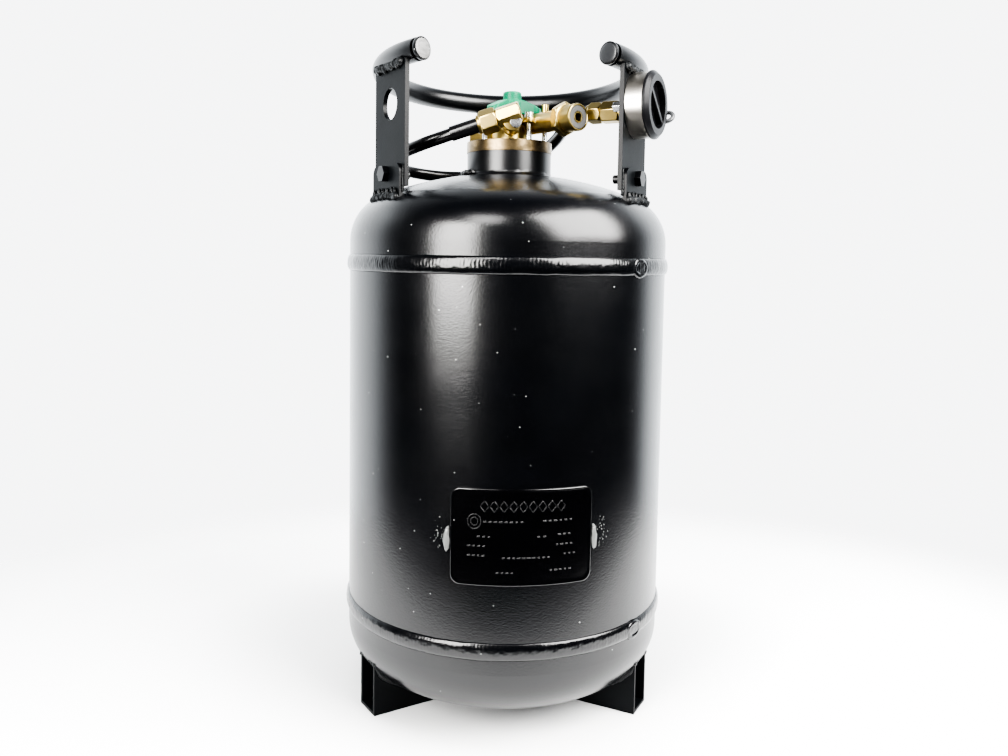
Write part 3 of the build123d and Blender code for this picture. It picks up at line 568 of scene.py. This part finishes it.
# ------------------------------------------------------------------ welds
def girth_bead(name, z0, seed, start_az, replaced):
    """The bead around the shell: a low crown with crescent ripples and a wavering edge."""
    columns = 1200
    rows = 17
    verts = []
    faces = []
    for i in range(columns):
        az = 360.0 * i / columns
        out = radial(az)
        along = math.radians(az) * TANK_R
        edge_p = Vector((out.x, out.y, seed)) * 9.0
        for j in range(rows):
            s = -1 + 2 * j / (rows - 1)
            wander = 0.05 * noise.noise(edge_p + Vector((0, 0, s * 3)))
            half = 0.0078 * (1 + wander)
            crown = max(0.0, 1 - abs(s) ** 2.4) ** 0.75
            at = Vector((out.x * 6, out.y * 6, s * 0.35 + seed))
            lump = noise.noise(at * 3.2) * 0.35 + noise.noise(at * 9.0) * 0.28
            ripple = math.sin(2 * math.pi * along / 0.0031 - 2.6 * s * s + 2.0 * noise.noise(at * 2.0))
            fine = 0.10 * ripple * (0.35 + 0.65 * abs(noise.noise(at * 1.6)))
            h = 0.0026 * crown * (1 + 0.22 * lump) + 0.001 * fine * crown
            verts.append(out * (TANK_R - 0.0002 + h) + Vector((0, 0, z0 + s * half)))
    for i in range(columns):
        k = (i + 1) % columns
        for j in range(rows - 1):
            faces.append((i * rows + j, k * rows + j, k * rows + j + 1, i * rows + j + 1))
    inner = len(verts)
    for i in range(columns):
        out = radial(360.0 * i / columns)
        verts.append(out * (TANK_R - 0.0012) + Vector((0, 0, z0 + 0.006)))
        verts.append(out * (TANK_R - 0.0012) + Vector((0, 0, z0 - 0.006)))
    for i in range(columns):
        k = (i + 1) % columns
        faces.append((inner + 2 * i, inner + 2 * k, inner + 2 * k + 1, inner + 2 * i + 1))
        faces.append((i * rows + rows - 1, k * rows + rows - 1, inner + 2 * k, inner + 2 * i))
        faces.append((k * rows, i * rows, inner + 2 * i + 1, inner + 2 * k + 1))
    crater = crater_blob(start_az, z0 - 0.001, seed)
    verts, faces = merged([(verts, faces), crater])
    return add_object(name, verts, faces, PAINT_WELD, "tank", replaced)


def crater_blob(az, z, seed):
    """Where the bead starts and stops: a low round boss with a sunk middle and a raised lip."""
    rings = 12
    sides = 40
    wide, tall = 1.7, 1.2     # the boss is an oval
    out = radial(az)
    across = tangent(az)
    verts = []
    faces = []
    for i in range(rings + 1):
        t = i / rings
        r = 0.0076 * t
        h = 0.0034 * (1 - t ** 6) ** 0.5 - 0.0016 * math.exp(-((t / 0.5) ** 4))
        for j in range(sides):
            a = 2 * math.pi * j / sides
            wob = 1 + 0.07 * noise.noise(Vector((math.cos(a), math.sin(a), seed)) * 1.4)
            rr = r * wob
            drop = TANK_R - math.sqrt(TANK_R ** 2 - (wide * rr * math.cos(a)) ** 2)
            hh = h + 0.0004 * noise.noise(Vector((math.cos(a) * t, math.sin(a) * t, seed)) * 3.0)
            base = out * (TANK_R - drop + hh - 0.0006)
            up = Vector((0, 0, z + tall * rr * math.sin(a)))
            verts.append(base + across * (wide * rr * math.cos(a)) + up)
    for i in range(rings):
        for j in range(sides):
            k = (j + 1) % sides
            faces.append((i * sides + j, (i + 1) * sides + j, (i + 1) * sides + k, i * sides + k))
    back = len(verts)
    verts.append(out * (TANK_R - 0.003) + Vector((0, 0, z)))
    for j in range(sides):
        faces.append((rings * sides + (j + 1) % sides, rings * sides + j, back))
    return verts, faces


BEAD_STEP = 0.0009        # distance between the rows of a straight bead


def ring_z(az):
    """Height of the tilted ring's centreline."""
    return RING_Z - RING_R * math.sin(math.radians(az)) * math.sin(math.radians(RING_TILT))


def make_handle_welds():
    parts = []
    seed = 3.0
    up = Vector((0, 0, 1))
    for az in CRADLE_AZ.values():
        out, along = radial(az), tangent(az)
        path = []
        for i in range(61):
            u = -0.0265 + 0.053 * i / 60
            r = 0.1300
            path.append(out * r + along * u + up * (dome_z(math.hypot(r, u)) + 0.0008))
        parts.append(lumpy(path, 0.0034, seed, 0.42, 0.10, 16, up=out))
        for k in range(6):
            u = -0.022 + 0.0088 * k + 0.003 * noise.noise(Vector((seed, k * 3.7, 0)))
            at = out * 0.1298 + along * u
            at.z = dome_z(0.1298) + 0.0030
            lean = along * (0.5 * noise.noise(Vector((k * 2.3, seed, 1)))) + up
            size = 0.0042 + 0.0022 * abs(noise.noise(Vector((k * 1.7, 2, seed))))
            axes = (out, along, lean.normalized())
            parts.append(blob(at, (0.0016, 0.0021, size), seed + k, 10, 14, 0.5, axes))
        top = out * 0.1262 + up * (ring_z(az) - 0.0085)
        path = line(top - along * 0.027, top + along * 0.027, BEAD_STEP)
        parts.append(lumpy(path, 0.0034, seed + 11, 0.45, 0.08, 16, up=out))
        for k in range(4):
            u = -0.020 + 0.0125 * k + 0.004 * noise.noise(Vector((seed, k * 5.1, 3)))
            at = top + along * u - up * 0.0012 + out * 0.0006
            parts.append(blob(at, (0.0022, 0.0038, 0.0034), seed + 30 + k, 10, 14, 0.55, (out, along, up)))
        for side in (-1, 1):
            low = out * 0.1256 + along * (side * 0.0276) + up * 0.4690
            high = out * 0.1256 + along * (side * 0.0274) + up * 0.4925
            parts.append(lumpy(line(low, high, BEAD_STEP), 0.0010, seed + 50 + side, 0.7, 0.2, 10, up=out))
        seed += 7.0
    verts, faces = merged(parts)
    return add_object("handle_weld_beads", verts, faces, PAINT_BEAD, "tank", ("handle_welds",))


def make_neck_weld():
    """A ground fillet between dome and collar, with an unground start at the left."""
    n = 240
    profile = 12
    verts = []
    faces = []
    for i in range(n):
        az = 360.0 * i / n
        for j in range(profile + 1):
            t = j / profile
            r = 0.0400 + 0.0085 * (1 - t) ** 2.2
            z = dome_z(0.0485) - 0.0004 + 0.0076 * t ** 2.2
            low = dome_z(r) - 0.0002
            lump = 0.0003 * noise.noise(radial(az, 1.0, t * 0.5) * 9.0)
            verts.append(radial(az, r - 0.0003 * t + lump, max(z, low)))
        verts.append(radial(az, 0.0385, dome_z(0.0385) - 0.002))
    m = profile + 2
    for i in range(n):
        k = (i + 1) % n
        for j in range(m):
            q = (j + 1) % m
            faces.append((i * m + j, k * m + j, k * m + q, i * m + q))
    bits = []
    for q in range(9):
        az = -176.0 + 4.2 * q
        size = 0.0022 + 0.0012 * abs(noise.noise(Vector((q * 1.9, 4.0, 1.0))))
        at = radial(az, 0.0445 + 0.0015 * noise.noise(Vector((q * 2.7, 1, 1))), dome_z(0.044) + 0.0022)
        bits.append(blob(at, (size, size * 1.3, size), 80.0 + q, 10, 14, 0.55))
    verts, faces = merged([(verts, faces)] + bits)
    return add_object("neck_weld_bead", verts, faces, PAINT_SMOOTH, "tank", ("neck_weld",))


def make_foot_welds():
    parts = []
    seed = 120.0
    for az in CRADLE_AZ.values():
        out, along = radial(az), tangent(az)
        for side in (-1, 1):
            path = []
            for i in range(34):
                r = 0.112 + 0.0315 * i / 33
                u = side * 0.0153
                z = under_z(min(0.1495, math.hypot(r, u))) - 0.0008
                path.append(out * r + along * u + Vector((0, 0, z)))
            parts.append(lumpy(path, 0.0021, seed, 0.5, 0.15, up=along))
            seed += 3.0
        for k in range(7):
            u = -0.014 + 0.028 * k / 6
            at = out * 0.1438 + along * u
            at.z = under_z(0.1445) + 0.0015
            if 1 <= k <= 5:
                at.z += 0.0012
            axes = (out, along, Vector((0, 0, 1)))
            parts.append(blob(at, (0.0021, 0.0028, 0.0021), seed + k, 8, 12, 0.5, axes))
        seed += 9.0
    verts, faces = merged(parts)
    return add_object("foot_weld_beads", verts, faces, PAINT_BEAD, "tank", ("foot_welds",))


def make_plate_tacks():
    parts = []
    rng = random.Random(11)
    # height, half width and half height of each lump of a tack
    lumps = ((0.1795, 0.0030, 0.0078), (0.1873, 0.0021, 0.0040), (0.1910, 0.0013, 0.0014))
    for az, side in ((-110.3, 1), (-62.7, -1)):
        out, along = radial(az), tangent(az)
        for k, (z, w, h) in enumerate(lumps):
            at = out * (TANK_R + 0.0003) - along * (side * (0.0014 - 0.0006 * k)) + Vector((0, 0, z))
            parts.append(blob(at, (0.0021, w, h), az + k, 14, 20, 0.3, (out, along, Vector((0, 0, 1)))))
        for k in range(34):
            far = rng.uniform(0.003, 0.017)
            turn = rng.uniform(-1.1, 1.1)
            a2 = az - side * math.degrees(far * math.cos(turn) / TANK_R)
            size = rng.uniform(0.00022, 0.0007)
            at = radial(a2, TANK_R, 0.184 + far * math.sin(turn))
            parts.append(blob(at, (size * 0.8, size, size), k, 5, 8, 0.3))
    verts, faces = merged(parts)
    stands_for = ("plate_tack_welds",)
    return add_object("plate_tack_beads", verts, faces, PAINT_TACK, "tank", stands_for)


girth_bead("upper_weld_bead", 0.4075, 1.0, -44.0, ("upper_girth_weld",))
girth_bead("lower_weld_bead", 0.0880, 5.0, -42.0, ("lower_girth_weld",))
make_handle_welds()
make_neck_weld()
make_foot_welds()
make_plate_tacks()


def gloss_edges(obj):
    """The cut edges of straps and lugs carry a thinner, glossier coat than their faces."""
    obj.data.materials.append(PAINT_EDGE)
    obj.data.materials.append(PAINT_SIDE)
    for face in obj.data.polygons:
        c = face.center
        out = max((radial(az) for az in CRADLE_AZ.values()), key=lambda o: o.dot(c))
        lean = abs(face.normal.dot(out))
        face.material_index = 0 if lean > 0.9 else (2 if lean < 0.2 else 1)


for node in ("strap_left", "strap_right", "strap_rear", "handle_lugs"):
    gloss_edges(bevelled(node, 0.0006))
for node in ("foot_front_left", "foot_front_right", "foot_rear"):
    bevelled(node, 0.0005)
bevelled("lug_bolts", 0.0009, 3)
bevelled("lug_nuts", 0.0007)
bevelled("bonnet_nut", 0.0007, 3)
for node in ("relief_cap", "bleed_screw", "valve_screws", "inlet_stud", "fill_point_screws", "fill_barrel"):
    bevelled(node, 0.0003, 2)
bevelled("fill_cap", 0.0009, 3)
bevelled("neck_flange_ring", 0.0005, 3)
remeshed("valve_body", 0.0005, 4)
remeshed("handwheel", 0.0005, 6)


# ------------------------------------------------------------------ rating plate
PLATE_AZ = -86.5
PLATE_R = 0.1517
PLATE_HALF = PLATE_R * math.radians(23.0)
PLATE_LOW, PLATE_HIGH = 0.1445, 0.2258
PLATE_T = 0.0015


def on_plate(x, y, lift):
    """Metres across and up from the plate's middle, to the model's frame."""
    az = PLATE_AZ + math.degrees(x / PLATE_R)
    return radial(az, TANK_R + lift, (PLATE_LOW + PLATE_HIGH) / 2 + y)


def make_rating_plate():
    half_w, half_h, corner = PLATE_HALF, (PLATE_HIGH - PLATE_LOW) / 2, 0.008
    turn = 20
    outline = []
    for cx, cy, start in ((1, 1, 0), (-1, 1, 90), (-1, -1, 180), (1, -1, 270)):
        for k in range(turn + 1):
            a = math.radians(start + 90.0 * k / turn)
            x = cx * (half_w - corner) + corner * math.cos(a)
            y = cy * (half_h - corner) + corner * math.sin(a)
            outline.append((x, y))
    dense = []
    for i, p in enumerate(outline):
        q = outline[(i + 1) % len(outline)]
        n = max(1, int(math.hypot(q[0] - p[0], q[1] - p[1]) / 0.0015))
        for k in range(n):
            dense.append((p[0] + (q[0] - p[0]) * k / n, p[1] + (q[1] - p[1]) * k / n))
    # the stamped sheet: a rolled lip, then a flat that sinks a little towards its middle
    steps = [
        (0.0, -0.0004), (0.0, 0.0010), (0.0003, 0.0014), (0.0008, 0.0017), (0.0014, 0.0017),
        (0.0020, 0.0015),
    ]
    steps += [(0.0020 + 0.0016 * k, 0.00148) for k in range(1, 23)]
    verts = []
    faces = []
    n = len(dense)
    for inset, lift in steps:
        kx = (half_w - inset) / half_w
        ky = (half_h - inset) / half_h
        for x, y in dense:
            wave = 0.00012 * math.sin(38.0 * x) * math.cos(60.0 * y) if inset > 0.002 else 0.0
            verts.append(on_plate(x * kx, y * ky, lift + wave))
    for i in range(len(steps) - 1):
        for j in range(n):
            k = (j + 1) % n
            faces.append((i * n + j, i * n + k, (i + 1) * n + k, (i + 1) * n + j))
    # the middle and the back are one face each, split into triangles further down
    last = (len(steps) - 1) * n
    faces.append(tuple(range(last, last + n)))
    faces.append(tuple(range(n - 1, -1, -1)))
    me = bpy.data.meshes.new("plate_sheet")
    me.from_pydata([tuple(v) for v in verts], [], faces)
    me.validate()
    bm = bmesh.new()
    bm.from_mesh(me)
    big = [f for f in bm.faces if len(f.verts) > 8]
    bmesh.ops.triangulate(bm, faces=big)
    bm.to_mesh(me)
    bm.free()
    obj = add_mesh("rating_plate_sheet", me, PAINT_PLATE, "tank", ("rating_plate",))
    obj.data.set_sharp_from_angle(angle=math.radians(60))
    make_plate_marks()


def bar(x0, y0, x1, y1, width, height=0.0004):
    """A low raised stroke on the plate from one point to another."""
    d = Vector((x1 - x0, y1 - y0, 0))
    n = max(2, int(d.length / 0.0012))
    side = Vector((-d.y, d.x, 0)).normalized()
    profile = [(-0.5, -0.0003), (-0.36, 0.7 * height), (0.0, height), (0.36, 0.7 * height), (0.5, -0.0003)]
    verts = []
    faces = []
    for i in range(n + 1):
        c = Vector((x0, y0, 0)) + d * (i / n)
        end = 0.35 if i in (0, n) else 1.0
        for w, h in profile:
            p = c + side * (w * width)
            verts.append(on_plate(p.x, p.y, PLATE_T + (h * end if h > 0 else h)))
    m = len(profile)
    for i in range(n):
        for j in range(m - 1):
            faces.append((i * m + j, (i + 1) * m + j, (i + 1) * m + j + 1, i * m + j + 1))
        faces.append((i * m + m - 1, (i + 1) * m + m - 1, (i + 1) * m, i * m))
    faces.append(tuple(range(m)))
    faces.append(tuple(range(n * m + m - 1, n * m - 1, -1)))
    return verts, faces


def loop(cx, cy, rx, ry, width, sides):
    """A raised oval outline of short strokes."""
    angles = [2 * math.pi * k / sides for k in range(sides)]
    pts = [(cx + rx * math.cos(a), cy + ry * math.sin(a)) for a in angles]
    return [bar(*pts[k], *pts[(k + 1) % sides], width) for k in range(sides)]


def lozenge(cx, cy, rx, ry, width):
    """A diamond outline."""
    pts = [(cx + rx, cy), (cx, cy + ry), (cx - rx, cy), (cx, cy - ry)]
    return [bar(*pts[k], *pts[(k + 1) % 4], width) for k in range(4)]


def make_plate_marks():
    """Embossed rows in place of the plate's text: lozenges, a double ring and plain dashes."""
    parts = []
    rng = random.Random(5)
    for k in range(9):
        x = -0.0320 + 0.0080 * k
        parts += lozenge(x, 0.0262, 0.0036, 0.0046, 0.0007)
    parts += loop(-0.0405, 0.0135, 0.0056, 0.0062, 0.0009, 24)
    parts += loop(-0.0405, 0.0135, 0.0030, 0.0034, 0.0008, 16)
    rows = [
        (-0.0320, 0.0135, 8, 0.0044), (0.0180, 0.0140, 6, 0.0046), (-0.0370, 0.0010, 3, 0.0044),
        (0.0130, 0.0010, 2, 0.0052), (0.0310, 0.0022, 3, 0.0044), (-0.0450, -0.0070, 4, 0.0042),
        (0.0290, -0.0062, 4, 0.0042), (-0.0450, -0.0150, 4, 0.0040), (-0.0160, -0.0165, 10, 0.0042),
        (0.0360, -0.0145, 3, 0.0042), (-0.0210, -0.0290, 4, 0.0040), (0.0240, -0.0275, 5, 0.0042),
    ]
    for x, y, count, pitch in rows:
        for k in range(count):
            half = pitch * rng.uniform(0.22, 0.38)
            parts.append(bar(x + k * pitch - half, y, x + k * pitch + half, y, 0.0017, 0.0005))
    verts, faces = merged(parts)
    add_object("plate_marks", verts, faces, PAINT_PLATE, "tank", ())


# ------------------------------------------------------------------ turned pieces
TURNED_SHARP = 28         # degrees between faces from which a turned edge stays sharp


def polar_piece(name, origin, axis, rows, material, replaced, turn=0.0, closed=True, sides=144):
    """An outline turned round an axis, on the tank.

    rows: distance along the axis, largest radius, and width across flats or None for a round row.
    turn: degrees from the upward corner of a hexagon to the first one.
    """
    axis = axis.normalized()
    ref = Vector((0, 0, 1)) if abs(axis.z) < 0.9 else Vector((1, 0, 0))
    u = (ref - axis * ref.dot(axis)).normalized()
    v = axis.cross(u)
    verts = []
    faces = []
    for s, r_max, flats in rows:
        for j in range(sides):
            a = 2 * math.pi * j / sides
            r = r_max
            if flats:
                off = (math.degrees(a) - turn) % 60 - 30
                r = min(r_max, flats / 2 / math.cos(math.radians(off)))
            verts.append(origin + axis * s + u * (math.cos(a) * r) + v * (math.sin(a) * r))
    m = len(rows)
    for i in range(m if closed else m - 1):
        k = (i + 1) % m
        for j in range(sides):
            q = (j + 1) % sides
            faces.append((i * sides + j, i * sides + q, k * sides + q, k * sides + j))
    if not closed:
        faces.append(tuple(range(sides - 1, -1, -1)))
        faces.append(tuple(range((m - 1) * sides, m * sides)))
    return add_object(name, verts, faces, material, "tank", replaced, TURNED_SHARP)


OUTLET_DIR = radial(OUTLET_AZ)
OUTLET_FACE = Vector((0.058, -0.066, 0.539))


def make_outlet():
    af = 0.027
    rows = [
        (-0.0340, 0.0038, None), (-0.0340, 0.0070, None), (-0.0230, 0.0070, None), (-0.0230, 0.0126, af),
        (-0.0226, 0.0134, af), (-0.0220, 0.0142, af), (-0.0213, 0.0150, af), (-0.0205, 0.0157, af),
        (-0.0172, 0.0157, af), (-0.0165, 0.0150, af), (-0.0158, 0.0142, af), (-0.0152, 0.0134, af),
        (-0.0148, 0.0126, af), (-0.0148, 0.0112, None), (-0.0134, 0.0112, None), (-0.0128, 0.0118, None),
    ]
    s = -0.0128
    crest, root = 0.0120, 0.01188
    while s < -0.0042:
        rows += [(s + 0.0003, crest, None), (s + 0.0006, crest, None)]
        rows += [(s + 0.0009, root, None), (s + 0.0012, root, None)]
        s += 0.0012
    rows += [
        (-0.0034, 0.0122, None), (-0.0010, 0.0122, None), (-0.0003, 0.0119, None), (0.0, 0.0114, None),
        (0.0, 0.0107, None), (-0.0004, 0.0104, None), (-0.0025, 0.0104, None), (-0.0025, 0.0050, None),
        (-0.0006, 0.0050, None), (-0.0003, 0.0047, None), (-0.0003, 0.0042, None), (-0.0007, 0.0038, None),
    ]
    polar_piece("outlet_fitting", OUTLET_FACE, OUTLET_DIR, rows, BRASS, ("outlet_adapter",))
    ring = [
        (-0.0024, 0.0052, None), (-0.0009, 0.0052, None), (-0.0005, 0.0056, None), (-0.0004, 0.0075, None),
        (-0.0005, 0.0098, None), (-0.0009, 0.0103, None), (-0.0024, 0.0103, None),
    ]
    polar_piece("outlet_washer", OUTLET_FACE, OUTLET_DIR, ring, GASKET, ("outlet_gasket",))


def make_ring_ends():
    # the right end's face carries painted shade (a darker material); the left end's face is the ground
    # steel
    ends = (("ring_end_right", -47.7, -1, RING_END_PAINTED_SHADE), ("ring_end_left", -132.3, 1, GROUND))
    for name, az, way, face_mat in ends:
        mid = radial(az, RING_R, ring_z(az))
        slope = (radial(az + way, RING_R, ring_z(az + way)) - mid).normalized()
        rows = [
            (-0.0004, 0.0096, None), (0.0012, 0.0100, None), (0.0024, 0.0099, None), (0.0028, 0.0094, None),
            (0.0027, 0.0088, None), (0.0029, 0.0084, None), (0.0031, 0.0070, None), (0.0033, 0.0048, None),
            (0.0034, 0.0020, None), (0.0034, 0.0004, None),
        ]
        obj = polar_piece(
            name, mid, slope, rows, PAINT_SMOOTH, ("ring_end_caps",), closed=False, sides=64)
        obj.data.materials.append(face_mat)
        for p in obj.data.polygons:
            c = p.center - mid
            if (c - slope * c.dot(slope)).length < 0.0085 and c.dot(slope) > 0.0026:
                p.material_index = 1


def hexagon(start, end, flats, chamfer=0.0022, steps=4):
    """Rows of a hexagon bar between two places on its axis, with turned chamfers at both ends."""
    rows = []
    inner, outer = flats * 0.475, flats * 0.585
    for k in range(steps + 1):
        t = k / steps
        rows.append((chamfer * t ** 1.3, inner + (outer - inner) * t, flats))
    return [(start + d, r, f) for d, r, f in rows] + [(end - d, r, f) for d, r, f in reversed(rows)]


def make_inlet():
    arm = [(0.0, 0.0060, None)] + hexagon(0.0, 0.0218, 0.017, 0.0018) + [(0.0218, 0.0060, None)]
    polar_piece("inlet_arm", ARM_START, ARM_DIR, arm, BRASS, ("inlet_elbow",), 9.0, False)
    nut = [(0.0222, 0.0069, None)] + hexagon(0.0222, 0.0378, 0.020) + [
        (0.0378, 0.0087, None), (0.0396, 0.0087, None), (0.0403, 0.0083, None), (0.0405, 0.0076, None),
        (0.0405, 0.0069, None),
    ]
    polar_piece("inlet_union_nut", ARM_START, ARM_DIR, nut, BRASS, ("inlet_nut",), -8.0)
    hub = [
        (0.0020, 0.0062, None), (0.0, 0.0062, None), (0.0, 0.0087, None), (0.0116, 0.0087, None),
        (0.0123, 0.0085, None), (0.0128, 0.0080, None), (0.0130, 0.0072, None),
    ]
    front = Vector((0, -1, 0))
    spot = Vector((0.0, -0.0375, 0.5365))
    polar_piece("inlet_hub", spot, front, hub, BRASS, ("inlet_elbow",), 0.0, False)
    rows = [
        (0.0002, 0.0003, None), (0.0002, 0.0050, None), (0.0009, 0.0055, None), (0.0016, 0.0055, None),
        (0.0021, 0.0050, None), (0.0023, 0.0040, None), (0.0021, 0.0024, None), (0.0021, 0.0003, None),
    ]
    spot = Vector((0.0030, -0.0505, 0.5360))
    polar_piece("inlet_plug_face", spot, front, rows, ZINC, ())


def make_fill_fittings():
    origin = Vector((0.0, 0.0, FILL_LINE_Z))
    axis = FILL_DIR
    nut = [
        (0.0800, 0.0060, None), (0.0800, 0.0070, None), (0.0804, 0.0075, None), (0.0812, 0.0078, None),
        (0.0824, 0.0078, None),
    ] + hexagon(0.0824, 0.0944, 0.017) + [(0.0944, 0.0060, None)]
    polar_piece("fill_union_nut", origin, axis, nut, BRASS_DULL, ("fill_hose_nut",), 14.0)
    body = [(0.0946, 0.0030, None)] + hexagon(0.0946, 0.1118, 0.018) + [
        (0.1118, 0.0080, None), (0.1282, 0.0080, None), (0.1285, 0.0105, None), (0.1364, 0.0105, None),
        (0.1370, 0.0099, None), (0.1370, 0.0028, None), (0.1340, 0.0028, None), (0.1338, 0.0046, None),
        (0.1112, 0.0046, None), (0.1110, 0.0030, None),
    ]
    polar_piece("fill_hex_adapter", origin, axis, body, BRASS_DULL, ("fill_adapter",), 24.0)


def make_spring(node):
    """A copy of a coil spring, with a mesh of its own."""
    obj = copy_of(node, "_coil")
    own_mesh(obj)


make_spring("relief_spring")
make_spring("fill_spring")
make_rating_plate()
make_outlet()
make_ring_ends()
make_inlet()
make_fill_fittings()


# ------------------------------------------------------------------ studio
def make_world():
    """White to the camera. To the tank, a room dark in front, bright behind and dimmer overhead."""
    world = bpy.data.worlds.new("studio")
    bpy.context.scene.world = world
    world.use_nodes = True
    nt = world.node_tree
    nt.nodes.clear()
    out = nt.nodes.new("ShaderNodeOutputWorld")
    seen = nt.nodes.new("ShaderNodeBackground")
    seen.inputs["Color"].default_value = (0.975, 0.985, 1.0, 1.0)
    seen.inputs["Strength"].default_value = 2.6
    room = nt.nodes.new("ShaderNodeBackground")
    path = nt.nodes.new("ShaderNodeLightPath")
    mix = nt.nodes.new("ShaderNodeMixShader")
    coords = nt.nodes.new("ShaderNodeTexCoord")
    split = nt.nodes.new("ShaderNodeSeparateXYZ")
    nt.links.new(coords.outputs["Generated"], split.inputs[0])

    lean = nt.nodes.new("ShaderNodeMath")
    lean.operation = "MULTIPLY_ADD"
    lean.inputs[1].default_value = -0.10
    nt.links.new(split.outputs["X"], lean.inputs[0])
    nt.links.new(split.outputs["Y"], lean.inputs[2])
    back = map_range(nt, lean.outputs[0], 0.0, 0.56, 0.014, 3.4)
    low = map_range(nt, split.outputs["Z"], 0.45, 0.75, 1.0, 0.25)
    times = nt.nodes.new("ShaderNodeMath")
    times.operation = "MULTIPLY"
    nt.links.new(back, times.inputs[0])
    nt.links.new(low, times.inputs[1])
    nt.links.new(times.outputs[0], room.inputs["Strength"])
    room.inputs["Color"].default_value = (0.93, 0.97, 1.0, 1.0)
    nt.links.new(path.outputs["Is Camera Ray"], mix.inputs[0])
    nt.links.new(room.outputs[0], mix.inputs[1])
    nt.links.new(seen.outputs[0], mix.inputs[2])
    nt.links.new(mix.outputs[0], out.inputs["Surface"])


def make_floor():
    """A pale disc that fades out in an oval, with a painted shadow under the tank."""
    floor_mesh = bpy.data.meshes.new("floor")
    bm = bmesh.new()
    bmesh.ops.create_circle(bm, cap_ends=True, segments=96, radius=1.1)
    bm.to_mesh(floor_mesh)
    bm.free()
    floor = bpy.data.objects.new("floor", floor_mesh)
    bpy.context.scene.collection.objects.link(floor)
    floor.location = (0.0, 0.10, -0.0003)
    m = Mat("floor")
    m.set(Roughness=0.6)
    m.bsdf.inputs["Specular IOR Level"].default_value = 0.2
    oval = m.nt.nodes.new("ShaderNodeVectorMath")
    oval.operation = "MULTIPLY"
    oval.inputs[1].default_value = (0.8, 1.15, 1.0)
    m.link(m.vec, oval.inputs[0])
    length = m.nt.nodes.new("ShaderNodeVectorMath")
    length.operation = "LENGTH"
    m.link(oval.outputs[0], length.inputs[0])
    far = length.outputs["Value"]
    # Painted shadow: the floor's colour is darker near the tank and lightens from 0.12 m to 0.30 m out.
    m.colour(m.mix(m.ramp(far, 0.12, 0.30), (0.60, 0.605, 0.61), (0.86, 0.865, 0.87)))
    fade = m.ramp(far, 0.42, 0.66, 1.0, 0.0)
    m.link(fade, m.bsdf.inputs["Alpha"])
    floor.data.materials.append(m.m)


def area(name, place, target, size, power, colour, glossy=True):
    data = bpy.data.lights.new(name, "AREA")
    data.shape = "RECTANGLE"
    data.size, data.size_y = size
    data.energy = power
    data.color = colour
    o = bpy.data.objects.new(name, data)
    bpy.context.scene.collection.objects.link(o)
    o.location = place
    o.rotation_euler = (Vector(target) - Vector(place)).to_track_quat("-Z", "Y").to_euler()
    o.visible_glossy = glossy
    o.visible_camera = False


view_settings = bpy.context.scene.view_settings
view_settings.view_transform = "AgX"
view_settings.look = "AgX - High Contrast"
make_world()
make_floor()
area("left_softbox", (-0.77, -1.00, 0.76), (0.0, 0.0, 0.76), (0.60, 0.98), 52.0, (1.0, 0.985, 0.96))
area("right_softbox", (0.787, -0.59, 1.02), (0.0, 0.0, 0.42), (1.0, 1.0), 76.0, (1.0, 0.99, 0.97))
area("front_upper", (-0.34, -0.92, 1.28), (0.0, 0.0, 0.5), (0.42, 0.34), 7.0, (1.0, 0.99, 0.97))
area("top_fill", (0.0, 0.25, 1.9), (0.0, 0.1, 0.0), (1.6, 1.6), 75.0, (1.0, 1.0, 1.0), False)
